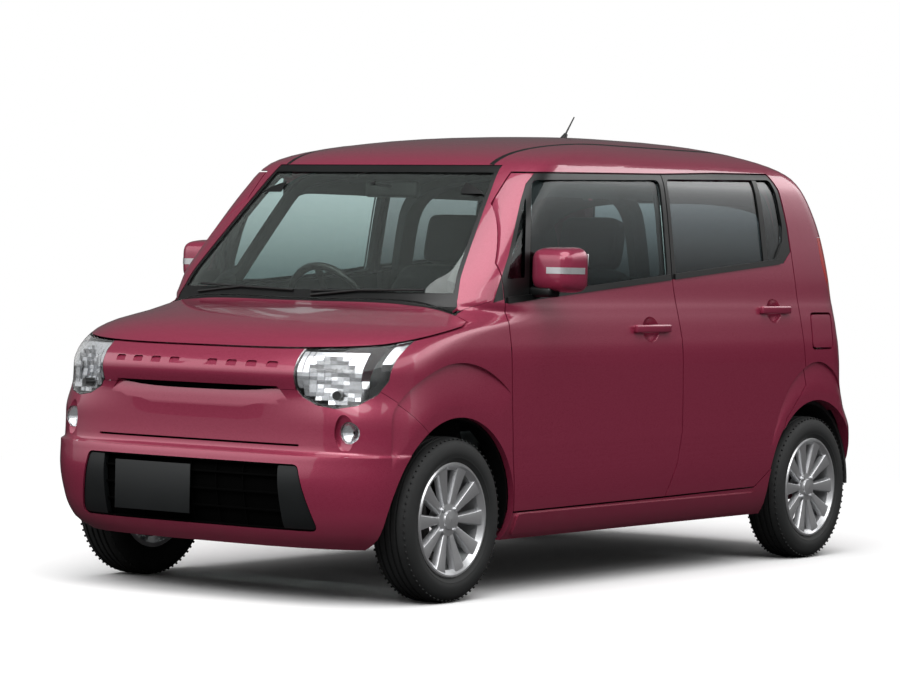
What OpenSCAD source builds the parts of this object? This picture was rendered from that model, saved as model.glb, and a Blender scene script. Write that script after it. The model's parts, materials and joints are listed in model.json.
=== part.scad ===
// Small tall city car with four side doors and a tailgate, built from separate panels, glass,
// cabin pieces, running gear and wheels.
// X points to the car's left, -Y to the front and Z up. The ground is at Z = 0.

/* [Overall] */
// Distance between the front and rear axles
wheelbase = 2425; // [2350:5:2500]
// Nose ahead of the front axle
front_overhang = 535; // [515:5:575]
// Tail behind the rear axle
rear_overhang = 435; // [425:5:475]
// Width over the body sides
body_width = 1475; // [1450:5:1530]
// Height of the roof's crown
body_height = 1622; // [1580:2:1680]

/* [Wheels] */
// Outer diameter of the tyres
tyre_diameter = 557; // [545:1:565]
// Width of the tyres
tyre_width = 155; // [145:1:160]
// Outer diameter of the rim's lip
rim_diameter = 389; // [375:1:400]
// Distance between the left and right wheel centres
track = 1295; // [1285:1:1305]
// Radius of the wheel arches
arch_radius = 345; // [335:1:350]
// Diameter of the stub axles
stub_diameter = 28; // [22:1:34]
// Number of spokes in each rim
spoke_count = 10; // [5:1:12]
// Tilt of the steering axis towards the middle of the car, in degrees
kingpin_tilt = 12.5; // [10:0.5:14]

/* [Panels] */
// Thickness of the doors and side walls
wall = 60; // [52:1:66]
// Thickness of the fenders, bumpers and hood
skin = 22; // [16:1:26]
// Thickness of the roof
roof_thickness = 34; // [28:1:38]
// Thickness of the tailgate
gate_thickness = 45; // [38:1:50]
// Thickness of the glass
glass_thickness = 5; // [4:0.5:6]
// Gap at the shut lines of the doors and lids
shut_gap = 6; // [5.5:0.5:8]
// Gap between panels that don't move
seam = 0.4; // [0.3:0.1:0.6]
// Depth of the flange that a shut door closes against
flange = 34; // [28:1:38]

/* [Hinges] */
// Diameter of the hinge pins
pin_diameter = 8; // [6:0.5:10]
// Running clearance round the hinge pins
pin_play = 0.4; // [0.3:0.05:0.6]
// Height of a hinge's barrel
hinge_height = 40; // [30:1:46]

/* [Cabin] */
// Height of the floor's top face
floor_height = 245; // [240:1:255]
// Thickness of the floor
floor_thickness = 22; // [16:1:26]
// Diameter of the steering wheel
steering_diameter = 370; // [350:2:380]
// Width of a front seat
seat_width = 470; // [440:2:490]

/* [Hidden] */

LEFT = 1;
RIGHT = -1;
half = body_width / 2;
hub_z = tyre_diameter / 2;
body_length = front_overhang + wheelbase + rear_overhang;
front_axle_y = front_overhang - body_length / 2;

// The sections and outlines below are drawn at these sizes, with Y measured from the front axle.
// The three functions carry a drawn place to the sizes set above: the nose, the doors and the tail
// stretch, and the wheel arches keep their form.
DRAWN_HALF = 737.5;
DRAWN_HEIGHT = 1622;
DRAWN_BASE = 2425;
DRAWN_NOSE = 535;
DRAWN_TAIL = 435;
WAIST = 1000;
NOSE_FROM = 380;
DOORS_FROM = 360;
DOORS_TO = 2000;
TAIL_FROM = 385;
growth = wheelbase - DRAWN_BASE;
function sx(x) = x * half / DRAWN_HALF;
function sz(z) = z <= WAIST ? z : WAIST + (z - WAIST) * (body_height - WAIST) / (DRAWN_HEIGHT - WAIST);
function sy(y) =
    y < -NOSE_FROM ? -NOSE_FROM + (y + NOSE_FROM) * (front_overhang - NOSE_FROM) / (DRAWN_NOSE - NOSE_FROM)
    : y < DOORS_FROM ? y
    : y < DOORS_TO ? y + growth * (y - DOORS_FROM) / (DOORS_TO - DOORS_FROM)
    : y < DRAWN_BASE + TAIL_FROM ? y + growth
    : wheelbase + TAIL_FROM
        + (y - DRAWN_BASE - TAIL_FROM) * (rear_overhang - TAIL_FROM) / (DRAWN_TAIL - TAIL_FROM);
function side_points(points) = [for (p = points) [sy(p[0]), sz(p[1])]];
function front_points(points) = [for (p = points) [sx(p[0]), sz(p[1])]];

// Body sections, one for each height. The columns are: height, half width, nose, depth and
// squareness of the nose's turn, tail, depth and squareness of the tail's turn.
HEIGHT = 0;
HALF = 1;
NOSE = 2;
NOSE_TURN = 3;
NOSE_SQUARE = 4;
TAIL = 5;
TAIL_TURN = 6;
TAIL_SQUARE = 7;
SECTIONS = [
    [190, 676, -452, 380, 3.2, 2772, 240, 3.0],
    [230, 702, -488, 430, 3.8, 2820, 240, 3.2],
    [300, 722, -516, 450, 4.0, 2850, 240, 3.2],
    [420, 734, -535, 450, 4.0, 2860, 240, 3.2],
    [480, 736, -526, 450, 4.1, 2857, 240, 3.2],
    [512, 737, -494, 450, 4.4, 2846, 230, 3.2],
    [600, 737.5, -490, 450, 4.4, 2785, 220, 3.2],
    [690, 737.5, -494, 450, 3.6, 2760, 215, 3.0],
    [765, 737.5, -520, 460, 3.1, 2752, 210, 3.0],
    [812, 737, -500, 465, 3.1, 2746, 210, 3.0],
    [848, 735, -458, 470, 3.2, 2741, 210, 3.0],
    [882, 731, -415, 485, 3.1, 2736, 210, 3.0],
    [915, 727, -345, 550, 2.9, 2732, 210, 3.0],
    [945, 723, -232, 640, 2.7, 2727, 210, 3.0],
    [970, 719, -98, 560, 2.7, 2723, 210, 3.0],
    [990, 716, 25, 380, 3.0, 2720, 210, 3.0],
    [1007, 713, 62, 330, 3.4, 2717, 210, 3.0],
    [1100, 703, 154, 270, 4.0, 2702, 205, 3.0],
    [1253, 683, 305, 250, 4.2, 2665, 200, 3.0],
    [1390, 662, 441, 235, 4.3, 2595, 195, 3.0],
    [1450, 648, 499, 235, 4.2, 2550, 195, 3.0],
    [1490, 628, 545, 240, 4.0, 2512, 200, 3.0],
    [1520, 600, 607, 270, 3.6, 2470, 220, 2.9],
    [1548, 552, 705, 320, 3.2, 2410, 250, 2.8],
    [1575, 478, 860, 380, 3.0, 2320, 280, 2.7],
    [1598, 380, 1060, 380, 2.8, 2200, 300, 2.6],
    [1613, 260, 1290, 330, 2.6, 2050, 260, 2.5],
    [1622, 110, 1550, 140, 2.4, 1850, 120, 2.4]
];
NOSE_STEPS = 7;
TAIL_STEPS = 5;
// Inner faces deeper than this have fewer steps
FINE_DEPTH = 10;
INNER_STEPS = 4;
LEAST_HALF = 4;
// An inset section also drops where the body turns level, between these heights
DROP_FROM = 520;
DROP_TO = 830;
OPEN_BOTTOM = 10;
// Heights of the sections that the inner faces of the panels pass over
PASSED_OVER = [230, 600, 812, 882, 945, 990, 1548, 1598];

function clamp(v) = max(0, min(1, v));
function turn(w, depth, square, steps) = [
    for (k = [0:steps]) let (t = 90 * k / steps)
        [w * pow(sin(t), 2 / square), depth * (1 - pow(cos(t), 2 / square))]
];
function reversed(list) = [for (i = [len(list) - 1:-1:0]) list[i]];
function outline(s, inset) =
    let (
        w = max(LEAST_HALF, sx(s[HALF]) - inset),
        nose = sy(s[NOSE]) + inset,
        tail = sy(s[TAIL]) - inset,
        reach = (tail - nose) / 2,
        z = sz(s[HEIGHT]) - inset * clamp((s[HEIGHT] - DROP_FROM) / (DROP_TO - DROP_FROM))
            - (inset > 0 && s[HEIGHT] == SECTIONS[0][HEIGHT] ? OPEN_BOTTOM : 0),
        fine = inset < FINE_DEPTH,
        front = turn(w, min(s[NOSE_TURN], reach), s[NOSE_SQUARE], fine ? NOSE_STEPS : INNER_STEPS),
        back = turn(w, min(s[TAIL_TURN], reach - 1), s[TAIL_SQUARE], fine ? TAIL_STEPS : INNER_STEPS),
        left = concat([for (p = front) [p[0], nose + p[1]]], [for (p = reversed(back)) [p[0], tail - p[1]]]),
        last = len(left) - 1
    )
    concat(
        [for (p = left) [p[0], p[1], z]],
        [for (i = [last - 1:-1:1]) [-left[i][0], left[i][1], z]]
    );

module layer(low, high)
    hull() polyhedron(
        points = concat(low, high),
        faces = [[for (i = [0:len(low) - 1]) i], [for (i = [0:len(high) - 1]) i + len(low)]]
    );

// The whole body's form, its surface moved in by inset
module form(inset) {
    rows = inset > 0 ? [for (s = SECTIONS) if (search(s[HEIGHT], PASSED_OVER) == []) s] : SECTIONS;
    for (i = [0:len(rows) - 2]) layer(outline(rows[i], inset), outline(rows[i + 1], inset));
}

module shell(outer, inner)
    difference() {
        form(outer);
        form(inner);
    }

// Places what is drawn from the front axle in the car's own frame
module place() translate([0, front_axle_y, 0]) children();
module on_side(side) mirror([side < 0 ? 1 : 0, 0, 0]) children();
module both_sides() for (side = [LEFT, RIGHT]) on_side(side) children();

// Prisms of outlines drawn from the side, from the front and from above
REACH = 1000;
module from_side(x0 = 0, x1 = REACH)
    rotate([90, 0, 90]) translate([0, 0, x0]) linear_extrude(x1 - x0) children();
module from_front(y0, y1)
    translate([0, y1, 0]) rotate([90, 0, 0]) linear_extrude(y1 - y0) children();
module from_above(z0 = 100, z1 = 1800)
    translate([0, 0, z0]) linear_extrude(z1 - z0) children();
module axle_cylinder(y, r, x0, x1)
    translate([x0, y, hub_z]) rotate([0, 90, 0]) cylinder(r = r, h = x1 - x0);

// Side outlines of the shut lines, height after distance behind the front axle
REAR_EDGE = [[1331, 293], [1395, 420], [1418, 536], [1416, 700], [1410, 869], [1378, 1071], [1391, 1478]];
FRONT_EDGE = [[505, 1457], [287, 1138], [290, 1025], [298, 860], [306, 674], [320, 480], [352, 287]];
FRONT_DOOR = concat(REAR_EDGE, FRONT_EDGE);
REAR_DOOR = concat(
    reversed(REAR_EDGE),
    [[1976, 300], [2110, 379], [2190, 556], [2337, 684], [2312, 860], [2279, 1133], [2262, 1300],
     [2232, 1440], [2190, 1502], [1800, 1494]]
);
// Lower edge of the window sashes, and the zone of the sashes above it
BELT = [[200, 996], [2210, 1158], [2300, 1225], [2300, 1600], [200, 1600]];
FRONT_WINDOW = [[405, 1021], [1350, 1098], [1362, 1456], [527, 1432], [405, 1255]];
REAR_WINDOW = [[1406, 1104], [2150, 1168], [2214, 1240], [2226, 1300], [2208, 1430], [2186, 1480],
               [1414, 1460]];
ROOF_LINE = [[300, 1478], [505, 1482], [1000, 1500], [1600, 1516], [2200, 1524], [2420, 1518]];
HOOD_LINE = [[-700, 848], [-460, 849], [-300, 868], [45, 927], [110, 948], [180, 985]];
FENDER_BACK = [[290, 1025], [298, 860], [306, 674], [320, 480], [352, 287], [352, 150]];
// Upper edge of the fender, from the hood's corner back to the door
FENDER_TOP = [[60, 936], [110, 968], [235, 1013], [284, 1022]];
// Seam from the lamp down to the front arch
BUMPER_SEAM = [[-357, 712], [-161, 567]];
BUMPER_TOP = 712;
SILL_TOP = 287;
REAR_SEAM = [[2560, 560], [2640, 598], [3100, 602]];
GATE_TOP = 2423;
GATE_BOTTOM = 606;
// Half outlines seen from the front or rear, height after distance from the middle
GATE_EDGE = [[575, GATE_BOTTOM], [600, 680], [606, 900], [582, 1030], [560, 1270], [549, 1440], [545, 1600]];
GATE_WINDOW = [[455, 1075], [470, 1110], [446, 1330], [414, 1425], [385, 1440]];
TAIL_LAMP = [[606, 1015], [690, 1025], [700, 1180], [660, 1262], [584, 1262]];
TAIL_LAMP_FROM = 2560;
SCREEN_EDGE = [[622, 900], [618, 986], [497, 1470], [488, 1560]];
HEADLAMP = [[415, 900], [415, 722], [436, 692], [490, 666], [556, 656], [620, 668], [664, 702], [686, 750],
            [692, 900]];
GARNISH_HALF = 415;
// Recesses on each side of the garnish's middle: count, spacing, height and size
RECESSES = 4;
RECESS_STEP = 82;
RECESS_Z = 789;
RECESS = [46, 13];
GRILLE = [[512, 252], [452, 470]];
POSITION_LAMP = [600, 578];
POSITION_LAMP_R = 36;
FUEL_LID = [[2385, 828], [2545, 962]];
WIPERS = [
    [[-520, 1036], [-40, 1024], [-40, 1038], [-520, 1050]],
    [[20, 1024], [500, 1036], [500, 1050], [20, 1038]]
];

plate_x = -sx(150);
plate_z = 285;
plate_width = 330;
plate_height = 165;
plate_thickness = 4;
hood_back = 40;
hood_bow = 43;
hood_bow_at = 630;
cowl_depth = 26;
function cowl_curve(offset) = [
    for (x = [-780:60:780]) [sx(x), hood_back + hood_bow * pow(x / hood_bow_at, 2) + offset]
];

cabin_half = sx(585);
door_inside = sx(550);
fender_inside = sx(640);
door_step = 16;
bpillar_from = 122;
bpillar_to = 152;
door_hinge_in = 12;
front_hinge_y = sy(348);
rear_hinge_y = sy(1432);
door_hinge_x = half - door_hinge_in;
door_hinge_z = [530, 820];
hood_hinge_y = 200;
hood_hinge_z = 958;
hood_hinge_x = sx(630);
bracket_top = 925;
neck_half = 4;
neck_low = [138, 898];
gate_hinge_y = sy(2380);
gate_hinge_z = sz(1520);
gate_hinge_x = sx(340);
gate_pin_half = 34;
gate_step = 30;
// More room beside the gate, whose wide lower part swings up past the frame
gate_swing = 1.5;
lid_thickness = 8;
lid_well = 66;
lid_gap = 6;
lid_hinge_y = sy(FUEL_LID[0][0]) + 39;
lid_side = sx(729);
lid_hinge_x = lid_side - 17;
lid_barrel = 40;
lid_barrel_z = 875;
lid_pin_r = 3;
lid_barrel_r = 5.5;
lid_ear = 4;
pin_r = pin_diameter / 2;
arm_thickness = 10;
barrel_r = pin_r + 3;
fit = 0.3;

PAINT = [0.72, 0.13, 0.30];
BLACK = [0.06, 0.06, 0.065];
TRIM = [0.16, 0.16, 0.17];
SILVER = [0.75, 0.76, 0.78];
STEEL = [0.42, 0.43, 0.45];
GLASS = [0.62, 0.72, 0.68, 0.4];
DARK_GLASS = [0.10, 0.11, 0.11, 0.7];
SEAT = [0.52, 0.50, 0.46];
RED_LENS = [0.55, 0.05, 0.06];

module door_zone(points, grow = 0)
    from_side(door_inside - (grow > 0 ? shut_gap : 0)) offset(delta = grow) polygon(side_points(points));
module above_line(points, lift = 0)
    from_side(-REACH, REACH) polygon(concat(
        [for (p = side_points(points)) p + [0, lift]],
        [[sy(3100), 2000], [-900, 2000]]
    ));
module hood_zone(grow = 0)
    intersection() {
        above_line(HOOD_LINE, -grow);
        from_above() polygon(concat(cowl_curve(grow), [[900, -900], [-900, -900]]));
    }
module roof_zone(grow = 0)
    intersection() {
        above_line(ROOF_LINE, -grow);
        translate([-REACH, 0, 0]) cube([2 * REACH, sy(GATE_TOP) + grow, 2000]);
    }
module half_front(points, y0, y1, grow = 0)
    from_front(y0, y1) offset(delta = grow) polygon(front_points(
        concat(points, [for (p = reversed(points)) [-p[0], p[1]]])
    ));
module gate_zone(grow = 0)
    intersection() {
        half_front(GATE_EDGE, sy(2300), sy(3100), grow);
        translate([-REACH, sy(GATE_TOP) + shut_gap - grow, 0]) cube([2 * REACH, 900, 2000]);
    }
module screen_zone(grow = 0)
    intersection() {
        half_front(SCREEN_EDGE, -100, 1000, grow);
        from_above() polygon(concat(cowl_curve(cowl_depth - grow), [[900, 1000], [-900, 1000]]));
    }
module lamp_zone(grow = 0)
    from_front(-900, -120) offset(delta = grow) polygon(front_points(HEADLAMP));
module tail_lamp_zone(grow = 0)
    from_front(sy(TAIL_LAMP_FROM) - grow, sy(3100)) offset(delta = grow) polygon(front_points(TAIL_LAMP));
module arches(grow = 0)
    for (y = [0, wheelbase]) axle_cylinder(y, arch_radius + grow, 0, REACH, $fn = 96);
module fuel_zone(grow = 0)
    from_side() offset(r = 18 + grow) offset(delta = -18) translate(side_points(FUEL_LID)[0])
        square(side_points(FUEL_LID)[1] - side_points(FUEL_LID)[0]);
module bumper_zone(grow = 0)
    from_side() polygon(concat(
        [[-900, 100], [-150, 100]],
        [for (p = reversed(side_points(BUMPER_SEAM))) p + [grow, grow]],
        [[-900, BUMPER_TOP + grow]]
    ));
module rear_bumper_zone(grow = 0)
    from_side() polygon(concat(
        [[sy(3100), 100], [sy(2560) - grow, 100]],
        [for (p = side_points(REAR_SEAM)) p + [-grow, grow]]
    ));

cowl_half = sx(622);
module cowl_zone(grow = 0)
    intersection() {
        from_above() polygon(concat(
            cowl_curve(shut_gap - grow), reversed(cowl_curve(cowl_depth - seam + grow))
        ));
        translate([-cowl_half - grow, -200, 800]) cube([2 * (cowl_half + grow), 600, 400]);
    }

// Slots for the necks of the hood's hinges
module hood_neck_slots(grow = 0)
    both_sides() translate([hood_hinge_x - 10 - grow, 40, 880]) cube([20 + 2 * grow, 90, 240]);

module side_frame(side)
    color(PAINT) place() on_side(side) difference() {
        union() {
            difference() {
                intersection() {
                    shell(0, wall + flange);
                    from_side(1) polygon(concat(
                        side_points([[2700, 100], [352, 100]]),
                        [for (p = side_points(reversed(FENDER_BACK))) p + [seam - shut_gap / 2, 0]],
                        [for (p = side_points(reversed(FENDER_TOP))) p + [0, seam]],
                        side_points([[60, 1000]]),
                        [for (p = side_points(ROOF_LINE)) p - [0, seam]],
                        side_points([[3100, 1518], [3100, 100]])
                    ));
                }
                door_zone(FRONT_DOOR, shut_gap / 2);
                door_zone(REAR_DOOR, shut_gap / 2);
            }
            // Flange behind the doors
            intersection() {
                shell(wall + shut_gap, wall + flange);
                difference() {
                    union() {
                        door_zone(FRONT_DOOR, shut_gap);
                        door_zone(REAR_DOOR, shut_gap);
                    }
                    door_zone(FRONT_DOOR, -flange);
                    door_zone(REAR_DOOR, -flange);
                    translate([0, sy(1250), 0]) cube([REACH, sy(1520) - sy(1250), 2000]);
                    cube([REACH, sy(430), 2000]);
                }
            }
            // Pillar between the doors, and the hinge pillar ahead of them with its foot
            intersection() {
                shell(bpillar_from, bpillar_to);
                union() {
                    from_side() polygon(side_points([[1350, 250], [1440, 250], [1440, 1500], [1350, 1500]]));
                    from_side(cabin_half) polygon(side_points([
                        [325, 250], [400, 250], [400, 440], [325, 440]
                    ]));
                    from_side(sx(563)) polygon(side_points([
                        [325, 430], [400, 430], [400, 940], [345, 1090], [230, 1090], [230, 1025], [325, 960]
                    ]));
                }
            }
            intersection() {
                shell(0, bpillar_to);
                from_side() polygon(side_points([[230, 1020], [278, 1032], [278, 1110], [250, 1110]]));
            }
            // Sill
            intersection() {
                form(0);
                translate([cabin_half, sy(360), 0])
                    cube([REACH, sy(2090) - sy(360), SILL_TOP - shut_gap / 2]);
            }
            // Rail above the doors, deep enough to carry the pillar
            intersection() {
                shell(0, bpillar_to);
                from_side() polygon(concat(
                    side_points([[1340, 1481], [1450, 1484]]),
                    [for (p = side_points([[1450, 1511], [1340, 1508]])) p - [0, seam]]
                ));
            }
        }
        arches();
        screen_zone(seam);
        gate_zone(shut_gap + gate_swing);
        tail_lamp_zone(seam);
        rear_bumper_zone(seam);
        hood_zone(shut_gap);
        cowl_zone(seam);
        if (side == LEFT) {
            fuel_well();
            lid_ears(fit);
        }
        hood_neck_slots();
        hinge_leaves(fit);
        gate_arm_slots();
        gate_pin(fit);
        translate([0, 0, 900]) cube([REACH, 107, 90]);
        difference() {
            fender_outline(seam);
            form(skin + seam);
        }
    }

module fender_outline(grow = 0)
    from_side(fender_inside - grow) offset(delta = grow) polygon(concat(
        [for (p = side_points(reversed(FENDER_BACK))) p - [shut_gap / 2, 0]],
        side_points(reversed(FENDER_TOP)),
        side_points([[60, 1000], [-700, 1000], [-700, 712]]),
        side_points(BUMPER_SEAM),
        side_points([[-161, 190]])
    ));

module front_fender(side)
    color(PAINT) place() on_side(side) difference() {
        intersection() {
            shell(0, skin);
            fender_outline();
        }
        arches();
        hood_zone(shut_gap);
        lamp_zone(seam);
        bumper_zone(seam);
        screen_zone(seam);
        cowl_zone(seam);
        hood_neck_slots();
    }

module roof_panel()
    color(PAINT) place() difference() {
        intersection() {
            shell(0, roof_thickness);
            roof_zone();
        }
        gate_arm_slots();
        both_sides() gate_pin(fit);
    }

module gate_pin(grow = 0)
    translate([gate_hinge_x - gate_pin_half - grow, gate_hinge_y, gate_hinge_z]) rotate([0, 90, 0])
        cylinder(r = pin_r + grow, h = 2 * (gate_pin_half + grow), $fn = 48);

module windscreen()
    color(GLASS) place() difference() {
        intersection() {
            shell(3, 3 + glass_thickness);
            screen_zone();
        }
        roof_zone(seam);
    }

module cowl_panel()
    color(BLACK) place() difference() {
        intersection() {
            shell(4, 4 + skin);
            cowl_zone();
        }
        hood_neck_slots();
    }

module hood()
    color(PAINT) place() {
        intersection() {
            shell(0, skin);
            hood_zone();
        }
        // Goosenecks that swing clear of the fenders
        both_sides() difference() {
            from_side(hood_hinge_x - neck_half, hood_hinge_x + neck_half) {
                hull() {
                    translate([hood_hinge_y, hood_hinge_z]) circle(r = barrel_r + 3, $fn = 32);
                    translate(neck_low) circle(r = 9, $fn = 24);
                }
                hull() {
                    translate(neck_low) circle(r = 9, $fn = 24);
                    translate([64, 928]) square([22, 16]);
                }
            }
            translate([hood_hinge_x - 20, hood_hinge_y, hood_hinge_z]) rotate([0, 90, 0])
                cylinder(r = pin_r + pin_play, h = 40, $fn = 32);
        }
    }

grille_rim = 14;
module grille_zone(grow = 0)
    half_front(GRILLE, -900, -200, grow);
module position_zone(grow = 0)
    both_sides() from_front(-900, -200) translate([sx(POSITION_LAMP[0]), POSITION_LAMP[1]])
        circle(r = POSITION_LAMP_R + grow, $fn = 32);

module front_bumper()
    color(PAINT) place() difference() {
        intersection() {
            shell(0, skin);
            union() both_sides() bumper_zone();
        }
        both_sides() arches();
        both_sides() lamp_zone(seam);
        grille_zone(seam);
        position_zone(seam);
        translate([-sx(433), -900, 524]) cube([2 * sx(433), 420, 12]);
    }

module front_garnish()
    color(PAINT) place() difference() {
        intersection() {
            shell(0, skin);
            translate([-sx(GARNISH_HALF) + seam, -900, BUMPER_TOP + seam])
                cube([2 * (sx(GARNISH_HALF) - seam), 700, 300]);
        }
        hood_zone(shut_gap);
        both_sides() for (k = [1:RECESSES])
            translate([sx(RECESS_STEP * k) - RECESS[0] / 2, -900, RECESS_Z - RECESS[1] / 2])
                cube([RECESS[0], 405, RECESS[1]]);
    }

module lower_grille()
    color(BLACK) place() {
        difference() {
            intersection() {
                shell(8, 8 + skin);
                grille_zone();
            }
            grille_zone(-grille_rim);
        }
        // Bars and posts, set in the frame
        intersection() {
            shell(8, 8 + skin);
            grille_zone(-grille_rim - seam);
            union() {
                for (z = [300:56:440]) translate([-REACH, -900, z]) cube([2 * REACH, 800, 18]);
                for (x = [-sx(230), sx(216)]) translate([x, -900, 260]) cube([14, 800, 205]);
            }
        }
        translate([plate_x - plate_width / 2, -front_overhang, plate_z])
            cube([plate_width, plate_thickness, plate_height]);
        translate([plate_x - 20, -front_overhang + 1, plate_z + 40]) cube([40, 24, 80]);
    }

module headlamp_bowls()
    color(SILVER) place() both_sides() difference() {
        intersection() {
            shell(12, 60);
            lamp_zone(-6);
        }
        hood_zone(shut_gap + 6);
        translate([sx(520), -600, 760]) rotate([-90, 0, 0]) cylinder(r = 60, h = 180, $fn = 32);
    }

module headlamp_lenses()
    color(GLASS) place() both_sides() difference() {
        intersection() {
            shell(0, 11.6);
            lamp_zone();
        }
        hood_zone(shut_gap);
    }

module position_lamps()
    color(GLASS) place() intersection() {
        shell(6, 6 + skin);
        position_zone();
    }

module rear_bumper()
    color(PAINT) place() difference() {
        intersection() {
            shell(0, skin + 10);
            union() both_sides() rear_bumper_zone();
        }
        both_sides() arches();
        gate_zone(shut_gap);
    }

module tail_lamps()
    color(RED_LENS) place() both_sides() difference() {
        intersection() {
            shell(0, wall);
            tail_lamp_zone();
        }
        gate_zone(shut_gap);
    }

// Tailgate hinge: a neck from the gate forward to a pin under the roof
module gate_arm_slots()
    both_sides() translate([gate_hinge_x - 20, gate_hinge_y - 20, 1400]) cube([40, 120, 400]);

module gate_neck()
    difference() {
        from_side(gate_hinge_x - 14, gate_hinge_x + 14) hull() {
            translate([gate_hinge_y, gate_hinge_z]) circle(r = barrel_r + 4, $fn = 32);
            translate([sy(GATE_TOP) + shut_gap, gate_hinge_z - 28]) square([44, 26]);
        }
        translate([gate_hinge_x - 40, gate_hinge_y, gate_hinge_z]) rotate([0, 90, 0])
            cylinder(r = pin_r + pin_play, h = 80, $fn = 32);
    }

module tailgate()
    color(PAINT) place() {
        difference() {
            union() {
                intersection() {
                    shell(0, skin);
                    gate_zone();
                }
                intersection() {
                    shell(skin - 1, gate_thickness);
                    gate_zone(-gate_step);
                }
            }
            half_front(GATE_WINDOW, sy(2300), sy(3100));
        }
        both_sides() gate_neck();
    }

module tailgate_glass()
    color(DARK_GLASS) place() intersection() {
        shell(8, 8 + glass_thickness);
        half_front(GATE_WINDOW, sy(2300), sy(3100), -seam);
    }

module rear_wiper()
    color(BLACK) place() difference() {
        translate([0, sy(2690), 1052]) {
            rotate([-90, 0, 0]) cylinder(r = 16, h = 52, $fn = 32);
            translate([-6, 40, 0]) cube([300, 10, 14]);
        }
        form(-fit);
    }

// Leaves of the door hinges, on the pillars, reaching out to the pins
module hinge_leaf(y, z, grow = 0) {
    reach = bpillar_from + 14 - door_hinge_in;
    translate([door_hinge_x - reach - grow, y - arm_thickness / 2 - grow, z - hinge_height / 2 - grow])
        cube([reach + 2 * grow, arm_thickness + 2 * grow, hinge_height + 2 * grow]);
}
module hinge_leaves(grow = 0)
    for (y = [front_hinge_y, rear_hinge_y], z = door_hinge_z) hinge_leaf(y, z, grow);

module door_hinge(y, z) {
    hinge_leaf(y, z);
    translate([door_hinge_x, y, z - hinge_height / 2]) cylinder(r = barrel_r, h = hinge_height);
    translate([door_hinge_x, y, z - hinge_height / 2 - 14]) cylinder(r = pin_r, h = hinge_height + 28);
}

module hinges()
    color(STEEL) place() {
        both_sides() {
            for (y = [front_hinge_y, rear_hinge_y], z = door_hinge_z) door_hinge(y, z);
            translate([hood_hinge_x - 20, hood_hinge_y, hood_hinge_z]) rotate([0, 90, 0])
                cylinder(r = pin_r, h = 30);
            translate([hood_hinge_x - 20, hood_hinge_y - 10, bracket_top + fit])
                cube([10, 24, hood_hinge_z + pin_r + 4 - bracket_top - fit]);
            gate_pin();
        }
        lid_pin();
    }

// Pin of the fuel lid between two ears set into the bottom of the well
module lid_ears(grow = 0)
    for (z = [lid_barrel_z - lid_ear - 1, lid_barrel_z + lid_barrel + 1])
        translate([lid_side - lid_well - 20 - grow, lid_hinge_y - 4 - grow, z - grow]) cube([
            lid_hinge_x + lid_pin_r - lid_side + lid_well + 20 + grow, 8 + 2 * grow, lid_ear + 2 * grow
        ]);
module lid_pin() {
    translate([lid_hinge_x, lid_hinge_y, lid_barrel_z - lid_ear - 1])
        cylinder(r = lid_pin_r, h = lid_barrel + 2 * (lid_ear + 1));
    lid_ears();
}

module hinge_pocket(y)
    for (z = door_hinge_z) {
        translate([door_hinge_x - 200, y - 200, z - hinge_height / 2 - 0.5])
            cube([200 + barrel_r + 1, 200 + barrel_r + 1, hinge_height + 1]);
        translate([door_hinge_x, y, z - hinge_height / 2 - 15])
            cylinder(r = pin_r + pin_play, h = hinge_height + 30, $fn = 32);
    }

module handle(y0, y1, z)
    hull() {
        for (y = [y0, y1]) translate([half - 24, y, z]) rotate([0, 90, 0]) cylinder(r = 13, h = 12, $fn = 24);
        for (y = [y0 + 34, y1 - 34])
            translate([half - 20, y, z]) rotate([0, 90, 0]) cylinder(r = 12, h = 38, $fn = 24);
    }

// Skin and stepped inner panel of a door, with its window
module door_form(shut, window)
    difference() {
        union() {
            intersection() {
                shell(0, skin);
                door_zone(shut, -shut_gap / 2);
            }
            intersection() {
                shell(skin - 1, wall);
                door_zone(shut, -door_step);
            }
        }
        from_side(door_inside) polygon(side_points(window));
    }
module belt_zone(drop = 0)
    from_side() polygon([for (p = side_points(BELT)) p - [0, drop]]);

module door(shut, window, hinge_y, grip) {
    difference() {
        door_form(shut, window);
        belt_zone(seam);
        hinge_pocket(hinge_y);
        arches(shut_gap);
    }
    handle(sy(grip[0]), sy(grip[1]), grip[2]);
    // Sash round the window, set on the panel
    intersection() {
        door_form(shut, window);
        belt_zone();
    }
}

module front_door(side)
    color(PAINT) place() on_side(side) door(FRONT_DOOR, FRONT_WINDOW, front_hinge_y, [1095, 1305, 912]);
module rear_door(side)
    color(PAINT) place() on_side(side) door(REAR_DOOR, REAR_WINDOW, rear_hinge_y, [2000, 2205, 978]);

module pane(window)
    intersection() {
        shell(22, 22 + glass_thickness);
        from_side(door_inside) offset(delta = -seam) polygon(side_points(window));
    }
module front_glass(side) color(GLASS) place() on_side(side) pane(FRONT_WINDOW);
module rear_glass(side) color(DARK_GLASS) place() on_side(side) pane(REAR_WINDOW);

// Middle, size and foot of a door mirror
MIRROR = [788, 510, 1122];
MIRROR_HALF = [84, 58, 75];
module door_mirror(side)
    color(PAINT) place() on_side(side) difference() {
        union() {
            hull() for (x = [-26, 38])
                translate([sx(MIRROR[0]) + x, MIRROR[1], MIRROR[2]])
                    scale([(MIRROR_HALF[0] - 38) / MIRROR_HALF[2], MIRROR_HALF[1] / MIRROR_HALF[2], 1])
                        sphere(r = MIRROR_HALF[2], $fn = 20);
            translate([sx(690), MIRROR[1] - 40, 1030]) cube([80, 60, 34]);
        }
        form(-fit);
    }

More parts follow.
